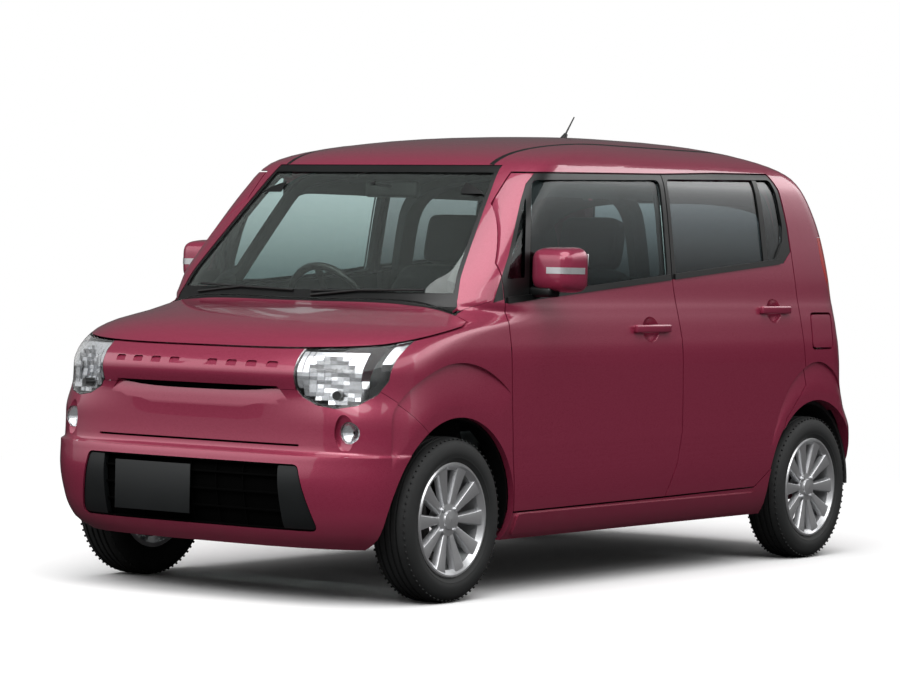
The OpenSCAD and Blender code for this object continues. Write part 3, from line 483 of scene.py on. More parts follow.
def rod(name: str, start: Vector, end: Vector, radius: float, end_radius: float | None = None,
        steps: int = 20) -> Piece:
    """Adds a round rod between two places, its radii in millimetres, with softened ends."""
    deselect()
    along = end - start
    bpy.ops.mesh.primitive_cone_add(
        vertices=steps, radius1=radius * MM, radius2=(radius if end_radius is None else end_radius) * MM,
        depth=along.length, location=(0, 0, 0))
    piece = bpy.context.object
    piece.name = name
    piece.data.transform(Matrix.Translation((start + end) / 2)
                         @ along.to_track_quat("Z", "Y").to_matrix().to_4x4())
    return smooth(piece, 50)


def puffed_cube(cuts: int, power: float, shape: Callable[[float, float, float], Point3]) -> Piece:
    """Rounds a finely cut cube and moves each vertex.

    Args:
        cuts: Cuts along each edge.
        power: Squareness of the rounded cube.
        shape: Place in metres of a spot on the rounded cube, whose half size is 1.

    Returns:
        The piece, round the origin.
    """
    deselect()
    bpy.ops.mesh.primitive_cube_add(size=2.0)
    piece = bpy.context.object
    bpy.ops.object.mode_set(mode="EDIT")
    bpy.ops.mesh.select_all(action="SELECT")
    bpy.ops.mesh.subdivide(number_cuts=cuts)
    bpy.ops.object.mode_set(mode="OBJECT")
    for vertex in piece.data.vertices:
        u, v, w = vertex.co
        scale = (abs(u) ** power + abs(v) ** power + abs(w) ** power) ** (-1 / power)
        vertex.co = shape(u * scale, v * scale, w * scale)
    return piece


def ellipsoid(centre: Vector, radii: Point3, segments: int) -> Piece:
    """Adds a sphere drawn out to three radii in millimetres, at a place in metres."""
    deselect()
    bpy.ops.mesh.primitive_uv_sphere_add(segments=segments, ring_count=24, radius=1.0)
    tool = bpy.context.object
    tool.data.transform(Matrix.Translation(centre) @ Matrix.Diagonal((*(r * MM for r in radii), 1)))
    return tool


# The body's form

def monotone(xs: np.ndarray, ys: np.ndarray, at: np.ndarray) -> np.ndarray:
    """Smooth interpolation that doesn't overshoot between given points."""
    step = np.diff(xs)
    slope = np.diff(ys) / step
    tangent = np.zeros_like(ys)
    tangent[0], tangent[-1] = slope[0], slope[-1]
    for i in range(1, len(ys) - 1):
        if slope[i - 1] * slope[i] > 0:
            w1 = 2 * step[i] + step[i - 1]
            w2 = step[i] + 2 * step[i - 1]
            tangent[i] = (w1 + w2) / (w1 / slope[i - 1] + w2 / slope[i])
    k = np.clip(np.searchsorted(xs, at) - 1, 0, len(step) - 1)
    t = (at - xs[k]) / step[k]
    return ((2 * t**3 - 3 * t**2 + 1) * ys[k] + (t**3 - 2 * t**2 + t) * step[k] * tangent[k]
            + (-2 * t**3 + 3 * t**2) * ys[k + 1] + (t**3 - t**2) * step[k] * tangent[k + 1])


@dataclass
class BodyForm:
    """The whole body's outer form, from which panels, glass and lamps are cut."""

    nose_steps: int = 26
    side_steps: int = 14
    tail_steps: int = 16
    drop_from: float = 520.0
    drop_to: float = 830.0
    open_bottom: float = 10.0
    cache: dict[float, Piece] = field(default_factory=dict)
    rows: list[Section] = field(default_factory=list)

    def __post_init__(self) -> None:
        """Interpolates the sections into close rows."""
        table = np.array([[getattr(s, f) for f in Section.__dataclass_fields__] for s in SECTIONS], float)
        heights = table[:, 0]
        fine: list[float] = []
        for low, high in zip(heights[:-1], heights[1:]):
            count = max(2, min(8, round((high - low) / 16)))
            fine += [low + (high - low) * i / count for i in range(count)]
        at = np.array(fine + [heights[-1]])
        columns = [monotone(heights, table[:, i], at) for i in range(1, 8)]
        self.rows = [Section(h, *(float(c[i]) for c in columns)) for i, h in enumerate(at)]

    def row_at(self, height: float) -> Section:
        """Section of the body at any height."""
        heights = [s.height for s in self.rows]
        k = int(np.clip(np.searchsorted(heights, height) - 1, 0, len(heights) - 2))
        low, high = self.rows[k], self.rows[k + 1]
        t = (height - low.height) / (high.height - low.height)
        return Section(*(getattr(low, f) * (1 - t) + getattr(high, f) * t
                         for f in Section.__dataclass_fields__))

    def half_at(self, y: float, z: float) -> float:
        """Half width of the body at a place along it and a height."""
        s = self.row_at(z)
        near = min((y - s.nose) / s.nose_turn, (s.tail - y) / s.tail_turn)
        square = s.nose_square if (y - s.nose) / s.nose_turn < (s.tail - y) / s.tail_turn else s.tail_square
        if near >= 1:
            return s.half
        if near <= 0:
            return 0.0
        return s.half * (1 - (1 - near) ** square) ** (1 / square)

    def nose_at(self, x: float, z: float) -> float:
        """Place of the front surface at a distance from the middle and a height."""
        s = self.row_at(z)
        share = min(abs(x) / s.half, 1.0)
        return s.nose + s.nose_turn * (1 - (1 - share ** s.nose_square) ** (1 / s.nose_square))

    def tail_at(self, x: float, z: float) -> float:
        """Place of the rear surface at a distance from the middle and a height."""
        s = self.row_at(z)
        share = min(abs(x) / s.half, 1.0)
        return s.tail - s.tail_turn * (1 - (1 - share ** s.tail_square) ** (1 / s.tail_square))

    def outline(self, s: Section, inset: float) -> list[Vector]:
        """Points round one level section, its surface moved in by an inset."""
        w = max(4.0, s.half - inset)
        nose, tail = s.nose + inset, s.tail - inset
        reach = (tail - nose) / 2
        share = min(max((s.height - self.drop_from) / (self.drop_to - self.drop_from), 0.0), 1.0)
        bottom = self.open_bottom if inset > 0 and s.height == SECTIONS[0].height else 0.0
        z = s.height - inset * share - bottom
        depth, back = min(s.nose_turn, reach), min(s.tail_turn, reach - 1)
        left: list[Point2] = []
        for k in range(self.nose_steps + 1):
            t = math.pi / 2 * k / self.nose_steps
            left.append((w * math.sin(t) ** (2 / s.nose_square),
                         nose + depth * (1 - max(math.cos(t), 0.0) ** (2 / s.nose_square))))
        start, end = nose + depth, tail - back
        left += [(w, start + (end - start) * k / self.side_steps) for k in range(1, self.side_steps)]
        for k in range(self.tail_steps, -1, -1):
            t = math.pi / 2 * k / self.tail_steps
            left.append((w * math.sin(t) ** (2 / s.tail_square),
                         tail - back * (1 - max(math.cos(t), 0.0) ** (2 / s.tail_square))))
        ring = left + [(-x, y) for x, y in reversed(left[1:-1])]
        return [place(x, y, z) for x, y in ring]

    def solid(self, inset: float) -> Piece:
        """The closed form with its surface moved in by an inset, kept for later copies."""
        if inset not in self.cache:
            rings = [self.outline(s, inset) for s in self.rows]
            count = len(rings[0])
            faces = [list(range(count))]
            for r in range(len(rings) - 1):
                a, b = r * count, (r + 1) * count
                faces += [[a + i, b + i, b + (i + 1) % count, a + (i + 1) % count] for i in range(count)]
            last = (len(rings) - 1) * count
            faces.append([last + i for i in range(count)][::-1])
            piece = recalculate(mesh_piece(f"form_{inset:g}", [p for ring in rings for p in ring], faces))
            self.cache[inset] = piece
        return self.cache[inset]

    def shell(self, name: str, outer: float, inner: float, zones: list[Piece], *holes: Piece) -> Piece:
        """Cuts a panel out of the form.

        Args:
            name: Name of the panel.
            outer: Inset of its outer face.
            inner: Inset of its inner face.
            zones: Tools that it lies within.
            holes: Tools that cut it.

        Returns:
            The panel as a closed mesh.
        """
        piece = copy_piece(self.solid(outer), name)
        for tool in zones:
            boolean(piece, tool, Cut.KEEP)
        for tool in holes:
            boolean(piece, tool, Cut.TAKE)
        return self.without(piece, inner)

    def part(self, inset: float, name: str) -> Piece:
        """Copies the form at an inset."""
        return copy_piece(self.solid(inset), name)

    def within(self, piece: Piece, inset: float) -> Piece:
        """Keeps what of a piece lies deeper than an inset."""
        return boolean(piece, self.solid(inset), Cut.KEEP, keep_tool=True)

    def without(self, piece: Piece, inset: float) -> Piece:
        """Keeps what of a piece lies above an inset."""
        return boolean(piece, self.solid(inset), Cut.TAKE, keep_tool=True)

    def clear(self) -> None:
        """Deletes the working forms."""
        remove(*self.cache.values())
        self.cache.clear()


# Zones that bound the panels

def above(line: Outline, lift: float = 0.0) -> Piece:
    """Everything above a line seen from the side."""
    return prism([(y, z + lift) for y, z in line] + [(BEHIND, TALL[1]), (AHEAD, TALL[1])], Axis.SIDE, *WHOLE)


def hood_tools(by: float = 0.0) -> Piece:
    """Zone of the hood, grown by a gap."""
    piece = above(HOOD_LINE, -by)
    return boolean(piece, prism(cowl_curve(by) + [(900, -900), (-900, -900)], Axis.ABOVE, 100, 1800),
                   Cut.KEEP)


def roof_tools(by: float = 0.0) -> Piece:
    """Zone of the roof, grown by a gap."""
    return boolean(above(ROOF_LINE, -by), box_tool(WHOLE, (0, GATE_TOP + by), TALL), Cut.KEEP)


def front_prism(half: Outline, low: float, high: float, by: float = 0.0, radius: float = 0.0) -> Piece:
    """Prism along the car of an outline that is the same on both sides."""
    whole = both_halves(half)
    if radius:
        whole = fillet(whole, radius)
    return prism(grow(whole, by), Axis.FRONT, low, high)


def screen_tools(by: float = 0.0) -> Piece:
    """Zone of the windscreen, grown by a gap."""
    lower = prism(cowl_curve(COWL_DEPTH - by) + [(900, 1000), (-900, 1000)], Axis.ABOVE, 100, 1800)
    return boolean(front_prism(SCREEN_EDGE, -100, 1000, by), lower, Cut.KEEP)


def gate_tools(by: float = 0.0) -> Piece:
    """Zone of the tailgate, grown by a gap."""
    return boolean(front_prism(GATE_EDGE, 2300, BEHIND, by, 40.0),
                   box_tool(WHOLE, (GATE_TOP + SHUT - by, 3200), TALL), Cut.KEEP)


def lamp_tools(side: Side, by: float = 0.0) -> Piece:
    """Zone of a headlamp, grown by a gap."""
    return prism(flipped(grow(fillet(HEADLAMP, 30), by), side), Axis.FRONT, AHEAD, -120)


def tail_lamp_tools(side: Side, by: float = 0.0) -> Piece:
    """Zone of a tail lamp, grown by a gap."""
    points = flipped(grow(fillet(TAIL_LAMP, 26), by), side)
    edge = [(y - by, z) for y, z in TAIL_LAMP_EDGE] + [(3100, 1320), (3100, 950)]
    return boolean(prism(points, Axis.FRONT, 2400, 3100), side_prism(edge, side), Cut.KEEP)


def on_side(side: Side, low: float, high: float) -> Point2:
    """Span between two distances from the middle, on one side of the car."""
    return (low, high) if side is Side.LEFT else (-high, -low)


def flipped(points: Outline, side: Side) -> Outline:
    """Outline of the left side, seen from the front, on either side."""
    return [(side.value * x, z) for x, z in points]


def side_prism(outline: Outline, side: Side, low: float = 0.0, high: float = REACH) -> Piece:
    """Prism across one side of the car of an outline seen from the side."""
    return prism(outline, Axis.SIDE, *on_side(side, low, high))


def sight_prism(outline: Outline, at: float = 700.0) -> Piece:
    """Prism of an outline on the plane of the left side, carried along the photograph's line of sight."""
    piece = prism(outline, Axis.SIDE, 420, 900)
    piece.data.transform(Matrix(((1, 0, 0, 0), (-SIGHT, 1, 0, SIGHT * at * MM), (0, 0, 1, 0), (0, 0, 0, 1))))
    return piece


def ahead_of_sash() -> Piece:
    """Zone ahead of the front sash's straight edge."""
    return sight_prism([(225, 900)] + SASH_FRONT + [(-200, 1600), (-200, 900)])


def neck_slot(side: Side) -> Piece:
    """Room for a neck of the hood's hinges."""
    return box_tool(on_side(side, NECK_X - 10, NECK_X + 10), (40, 130), (880, 1120))


def arm_slot(side: Side) -> Piece:
    """Room for an arm of the tailgate's hinges."""
    return box_tool(on_side(side, GATE_ARM_X - 20, GATE_ARM_X + 20), (2360, 2480), (1400, 1800))


def arch_tool(y: float, side: Side, by: float = 0.0) -> Piece:
    """Cylinder that opens a wheel arch."""
    return side_prism(circle((y, HUB_Z), ARCH_R + by, 120), side)


def cowl_tools(by: float = 0.0) -> Piece:
    """Zone of the strip between hood and windscreen."""
    strip = prism(cowl_curve(SHUT - by) + cowl_curve(COWL_DEPTH - SEAM + by)[::-1], Axis.ABOVE, 800, 1200)
    return boolean(strip, box_tool((-622 - by, 622 + by), (-200, 400), (800, 1200)), Cut.KEEP)


def bumper_outline(by: float = 0.0) -> Outline:
    """Side outline of the front bumper."""
    return ([(-900, 100), (-150, 100)] + [(y + by, z + by) for y, z in reversed(BUMPER_SEAM)]
            + [(-900, BUMPER_TOP + by)])


def rear_bumper_outline(by: float = 0.0) -> Outline:
    """Side outline of the rear bumper."""
    return [(3100, 100), (2560 - by, 100)] + [(y - by, z + by) for y, z in REAR_SEAM]


@dataclass(frozen=True)
class ArchCrease:
    """Crease above a wheel arch, where the panel steps in and flares out again towards the tyre."""

    y: float
    table: tuple[Point3, ...]
    foot: float = 385.0

    def tool(self, form: BodyForm, side: Side) -> Piece:
        """Wedge that cuts the crease into the panels of one side."""
        angles = np.array([row[0] for row in self.table], float)
        fine = np.linspace(angles[0], angles[-1], 48)
        radii = monotone(angles, np.array([row[1] for row in self.table], float), fine)
        depths = monotone(angles, np.array([row[2] for row in self.table], float), fine)
        points: list[Vector] = []
        for angle, radius, depth in zip(np.radians(fine), radii, depths):
            for share, sink in ((1.0, -16.0), (1.0, depth), (0.66, depth * 0.62), (0.33, depth * 0.28),
                                (0.0, -0.4), (0.0, -16.0)):
                r = self.foot + (radius - self.foot) * share
                y, z = self.y + r * math.sin(angle), HUB_Z + r * math.cos(angle)
                points.append(place(side.value * (form.half_at(y, z) - sink), y, z))
        ring = 6
        faces = [list(range(ring)), list(range(len(points) - ring, len(points)))[::-1]]
        for k in range(len(fine) - 1):
            faces += [[k * ring + i, (k + 1) * ring + i, (k + 1) * ring + (i + 1) % ring,
                       k * ring + (i + 1) % ring]
                      for i in range(ring)]
        return recalculate(mesh_piece("crease", points, faces))


FRONT_CREASE = ArchCrease(0.0, (
    (-62, 392, 0.0), (-54, 421, 7.0), (-41, 498, 12.0), (-20, 520, 15.0), (0, 527, 15.0), (20, 522, 11.0),
    (36, 513, 0.0)))
REAR_CREASE = ArchCrease(WHEELBASE, (
    (-62, 390, 0.0), (-54, 402, 5.0), (-38, 434, 9.0), (-23, 466, 11.0), (0, 496, 12.0), (12, 482, 11.0),
    (22, 454, 8.0), (31, 418, 0.0)))


# Finishes

class Coat(Enum):
    """Finishes of the car; the frame's own nodes find theirs by the record's material slot."""

    PAINT = "paint"
    BLACK = "black_trim"
    GREY = "grey_trim"
    CLEAR = "clear_glass"
    TINT = "tinted_glass"
    # Near-black with little gloss: painted shade inside the grille and behind the nose openings.
    DEEP = "deep_black"
    BOWL = "lamp_bowl"
    DARK = "dark_glass"
    CHROME = "lamp_chrome"
    LENS = "lamp_clear"
    RED = "lamp_red"
    STEEL = "steel"
    CAST = "cast"
    CLOTH = "seat_cloth"
    ALLOY = "alloy"
    TYRE = "tyre"


@dataclass
class NodeSheet:
    """Adds and links the nodes of one material or group."""

    tree: bpy.types.NodeTree

    def add(self, kind: str, **feeds: object) -> bpy.types.Node:
        """Adds a node and feeds its named inputs.

        Args:
            kind: Type of the node.
            feeds: Values or sockets for its inputs, with spaces written as underscores.

        Returns:
            The new node.
        """
        node = self.tree.nodes.new(kind)
        for name, source in feeds.items():
            self.feed(node, name.replace("_", " "), source)
        return node

    def feed(self, node: bpy.types.Node, socket: str | int, source: object) -> None:
        """Sets an input to a value, or links it from another node's output."""
        if isinstance(source, bpy.types.NodeSocket):
            self.tree.links.new(source, node.inputs[socket])
        else:
            node.inputs[socket].default_value = source

    def object_spot(self) -> bpy.types.NodeSocket:
        """Gives the place in the piece's own coordinates."""
        return self.add("ShaderNodeTexCoord").outputs["Object"]

    def height(self) -> bpy.types.NodeSocket:
        """Gives the height of that place."""
        return self.add("ShaderNodeSeparateXYZ", Vector=self.object_spot()).outputs[2]

    def math(self, operation: str, first: object, second: object = 0.0) -> bpy.types.NodeSocket:
        """Adds a sum of two values and gives its output."""
        node = self.tree.nodes.new("ShaderNodeMath")
        node.operation = operation
        self.feed(node, 0, first)
        self.feed(node, 1, second)
        return node.outputs[0]

    def blend(self, share: object, first: object, second: object) -> bpy.types.NodeSocket:
        """Mixes two colours by a share and gives the result."""
        node = self.tree.nodes.new("ShaderNodeMix")
        node.data_type = "RGBA"
        self.feed(node, 0, share)
        self.feed(node, 6, first)
        self.feed(node, 7, second)
        return node.outputs[2]

    def span(self, value: object, low: float, high: float, to_low: float,
             to_high: float) -> bpy.types.NodeSocket:
        """Carries a value from one range to another and gives the result."""
        node = self.tree.nodes.new("ShaderNodeMapRange")
        for index, source in enumerate((value, low, high, to_low, to_high)):
            self.feed(node, index, source)
        return node.outputs[0]


@dataclass
class Effects:
    """Shader groups that several finishes share."""

    grain: bpy.types.NodeTree = field(init=False)
    flake: bpy.types.NodeTree = field(init=False)
    dust: bpy.types.NodeTree = field(init=False)

    def __post_init__(self) -> None:
        """Builds each group once."""
        self.grain, sheet, start, end = self._group("moulded_grain", ("Scale",), ("Height", "Tone"))
        spot = sheet.object_spot()
        fine = sheet.add("ShaderNodeTexNoise", Vector=spot, Scale=start.outputs["Scale"], Detail=5.0,
                         Roughness=0.6)
        broad = sheet.add("ShaderNodeTexNoise", Vector=spot, Scale=9.0, Detail=3.0)
        sheet.feed(end, "Height", fine.outputs[0])
        sheet.feed(end, "Tone", sheet.math("MULTIPLY", fine.outputs[0], broad.outputs[0]))
        self.flake, sheet, start, end = self._group("metal_flake", ("Scale",), ("Tone", "Height"))
        spot = sheet.object_spot()
        cells = sheet.add("ShaderNodeTexVoronoi", Vector=spot, Scale=start.outputs["Scale"])
        tone = sheet.add("ShaderNodeSeparateColor", Color=cells.outputs["Color"]).outputs[0]
        peel = sheet.add("ShaderNodeTexNoise", Vector=spot, Scale=60.0, Detail=1.0)
        sheet.feed(end, "Tone", tone)
        sheet.feed(end, "Height", peel.outputs[0])
        self.dust, sheet, start, end = self._group("road_dust", ("Level",), ("Mask",))
        spot = sheet.object_spot()
        cloud = sheet.add("ShaderNodeTexNoise", Vector=spot, Scale=14.0, Detail=6.0)
        low = sheet.math("SUBTRACT", 1.0, sheet.math("DIVIDE", sheet.height(), start.outputs["Level"]))
        clamped = sheet.span(low, 0.0, 1.0, 0.0, 1.0)
        sheet.feed(end, "Mask", sheet.math("MULTIPLY", clamped, cloud.outputs[0]))

    @staticmethod
    def _group(name: str, takes: tuple[str, ...], gives: tuple[str, ...]) -> tuple:
        """Starts a group with named inputs and outputs."""
        tree = bpy.data.node_groups.new(name, "ShaderNodeTree")
        for label in takes:
            tree.interface.new_socket(label, in_out="INPUT", socket_type="NodeSocketFloat")
        for label in gives:
            tree.interface.new_socket(label, in_out="OUTPUT", socket_type="NodeSocketFloat")
        return tree, NodeSheet(tree), tree.nodes.new("NodeGroupInput"), tree.nodes.new("NodeGroupOutput")


@dataclass(frozen=True)
class Finish:
    """One material: its colours, gloss, surface grain and dust, and for some glass a painted highlight that
    lightens it towards the top.
    """

    colour: Point3
    second: Point3
    rough: float
    rough_spread: float = 0.06
    metal: float = 0.0
    grain_scale: float = 320.0
    bump: float = 0.0
    flake: bool = False
    dust_level: float = 0.0
    coat: float = 0.0
    transmission: float = 0.0
    sheen: float = 0.0
    weave: bool = False
    ior: float = 1.5
    # Heights in metres over which a glass colour goes from its dark tint to a painted highlight above,
    # standing for the reflection of overhead light.
    graded: Point2 | None = None

    def build(self, name: str, effects: Effects) -> bpy.types.Material:
        """Builds the material's nodes.

        Args:
            name: Name of the material.
            effects: The shared shader groups.

        Returns:
            The material.
        """
        material = bpy.data.materials.new(name)
        material.use_nodes = True
        sheet = NodeSheet(material.node_tree)
        shader = material.node_tree.nodes["Principled BSDF"]
        group = sheet.add("ShaderNodeGroup")
        group.node_tree = effects.flake if self.flake else effects.grain
        sheet.feed(group, "Scale", self.grain_scale)
        tone, height = group.outputs["Tone"], group.outputs["Height"]
        if self.weave:
            tone = height = self._weave(sheet)
        # Painted highlight: the glass colour lightens with height, in place of the reflection of overhead
        # light.
        if self.graded:
            tone = sheet.span(sheet.height(), *self.graded, 0.0, 1.0)
        colour = sheet.blend(tone, (*self.colour, 1.0), (*self.second, 1.0))
        rough = sheet.span(tone, 0.0, 1.0, self.rough, self.rough + self.rough_spread)
        if self.dust_level:
            dust = sheet.add("ShaderNodeGroup")
            dust.node_tree = effects.dust
            sheet.feed(dust, "Level", self.dust_level)
            mask = sheet.math("MULTIPLY", dust.outputs["Mask"], 0.35)
            colour = sheet.blend(mask, colour, (0.20, 0.18, 0.16, 1.0))
            rough = sheet.math("ADD", rough, mask)
        for socket, source in (
                ("Base Color", colour), ("Roughness", rough), ("Metallic", self.metal),
                ("Coat Weight", self.coat),
                ("Coat Roughness", 0.02), ("Transmission Weight", self.transmission),
                ("Sheen Weight", self.sheen),
                ("IOR", self.ior)):
            sheet.feed(shader, socket, source)
        if self.bump:
            bump = sheet.add("ShaderNodeBump", Strength=self.bump, Distance=0.0006, Height=height)
            sheet.feed(shader, "Normal", bump.outputs[0])
        return material

    @staticmethod
    def _weave(sheet: NodeSheet) -> bpy.types.NodeSocket:
        """Crosses two fine wave patterns into a plain weave."""
        spot = sheet.object_spot()
        waves = []
        for direction in ("X", "Z"):
            wave = sheet.add("ShaderNodeTexWave", Vector=spot, Scale=160.0, Distortion=0.6)
            wave.bands_direction = direction
            waves.append(wave.outputs["Fac"])
        return sheet.math("MULTIPLY", waves[0], waves[1])


FINISHES = {
    Coat.PAINT: Finish((0.26, 0.019, 0.054), (0.36, 0.042, 0.094), 0.26, 0.10, 0.30, 1500.0, 0.03, True,
                       0.34, 1.0),
    Coat.BLACK: Finish((0.003, 0.0035, 0.0035), (0.008, 0.0085, 0.0085), 0.36, 0.16, 0.0, 700.0, 0.12),
    # Near-black, almost without gloss: painted shade for the grille and the panel behind the nose openings.
    Coat.DEEP: Finish((0.0008, 0.0008, 0.0008), (0.0012, 0.0012, 0.0012), 0.9, 0.05, ior=1.12),
    Coat.GREY: Finish((0.004, 0.0055, 0.006), (0.009, 0.011, 0.012), 0.48, 0.12, 0.0, 520.0, 0.30),
    Coat.CLEAR: Finish((0.74, 0.84, 0.80), (0.76, 0.86, 0.82), 0.0, 0.0, transmission=1.0, ior=1.45),
    # Tinted front panes: real dark tint at the belt, painted lighter towards the top as a painted reflection
    # of overhead light.
    Coat.TINT: Finish((0.12, 0.17, 0.175), (0.60, 0.72, 0.73), 0.0, 0.0, transmission=1.0, ior=1.35,
                      graded=(1.08, 1.44)),
    # Dark rear panes: real dark tint at the belt, painted lighter towards the top as a painted reflection of
    # overhead light.
    Coat.DARK: Finish((0.06, 0.075, 0.08), (0.34, 0.39, 0.41), 0.0, 0.0, transmission=1.0, ior=1.65,
                      graded=(1.12, 1.46)),
    Coat.CHROME: Finish((0.72, 0.73, 0.75), (0.82, 0.83, 0.84), 0.04, 0.04, 1.0, 240.0),
    Coat.BOWL: Finish((0.48, 0.49, 0.51), (0.70, 0.71, 0.73), 0.20, 0.14, 1.0, 240.0),
    Coat.LENS: Finish((0.97, 0.98, 0.98), (0.99, 0.99, 0.99), 0.0, 0.0, transmission=1.0, ior=1.3),
    Coat.RED: Finish((0.62, 0.012, 0.012), (0.75, 0.030, 0.024), 0.05, 0.05, transmission=0.3, coat=1.0),
    Coat.STEEL: Finish((0.040, 0.041, 0.043), (0.09, 0.09, 0.09), 0.48, 0.20, 0.7, 90.0, 0.25,
                       dust_level=0.6),
    Coat.CAST: Finish((0.07, 0.07, 0.07), (0.16, 0.155, 0.15), 0.55, 0.22, 0.6, 260.0, 0.50, dust_level=0.6),
    Coat.CLOTH: Finish((0.016, 0.016, 0.018), (0.040, 0.038, 0.040), 0.85, 0.10, bump=0.7, sheen=0.15,
                       weave=True),
    Coat.ALLOY: Finish((0.62, 0.63, 0.64), (0.74, 0.745, 0.76), 0.28, 0.10, 0.75, 1600.0, 0.02, True,
                       coat=0.4),
    Coat.TYRE: Finish((0.010, 0.011, 0.011), (0.026, 0.027, 0.027), 0.62, 0.20, 0.0, 420.0, 0.35),
}


@dataclass
class Workshop:
    """The form, the finished materials and the way that a piece is fitted to the car."""

    form: BodyForm
    coats: dict[Coat, bpy.types.Material]

    def fit(self, piece: Piece, body: str, coat: Coat, *nodes: str, angle: float | None = 30.0) -> Piece:
        """Gives a piece its finish and its body.

        Args:
            piece: The finished mesh.
            body: Body that it moves with.
            coat: Its finish.
            nodes: Nodes that it stands for.
            angle: Edges sharper than this stay sharp, or none to keep the shading.

        Returns:
            The piece.
        """
        if angle is not None:
            smooth(piece, angle)
        piece.data.materials.clear()
        piece.data.materials.append(self.coats[coat])
        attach(piece, body)
        if nodes:
            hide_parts(*nodes)
        LOG.info("%s on %s: %d faces", piece.name, body, len(piece.data.polygons))
        return piece

    def pair(self, piece: Piece, name: str, coat: Coat, *nodes: str, body: str = "body",
             angle: float | None = 30.0) -> None:
        """Fits a piece of the left side, and its mirror image on the right.

        Args:
            piece: The piece on the left.
            name: Its name without the side.
            coat: The finish of both.
            nodes: Nodes that they stand for, with an asterisk for the side.
            body: Body that they move with, with an asterisk for the side.
            angle: Edges sharper than this stay sharp, or none to keep the shading.
        """
        for side, half in ((Side.LEFT, piece), (Side.RIGHT, mirrored(piece, f"{name}_right"))):
            stood_for = [node.replace("*", side.word) for node in nodes]
            self.fit(half, body.replace("*", side.word), coat, *stood_for, angle=angle)


TURN_TO_SIDE = {side: Matrix.Rotation(side.value * math.pi / 2, 4, "Y") for side in Side}
TURN_TO_FRONT = Matrix.Rotation(math.pi / 2, 4, "X")


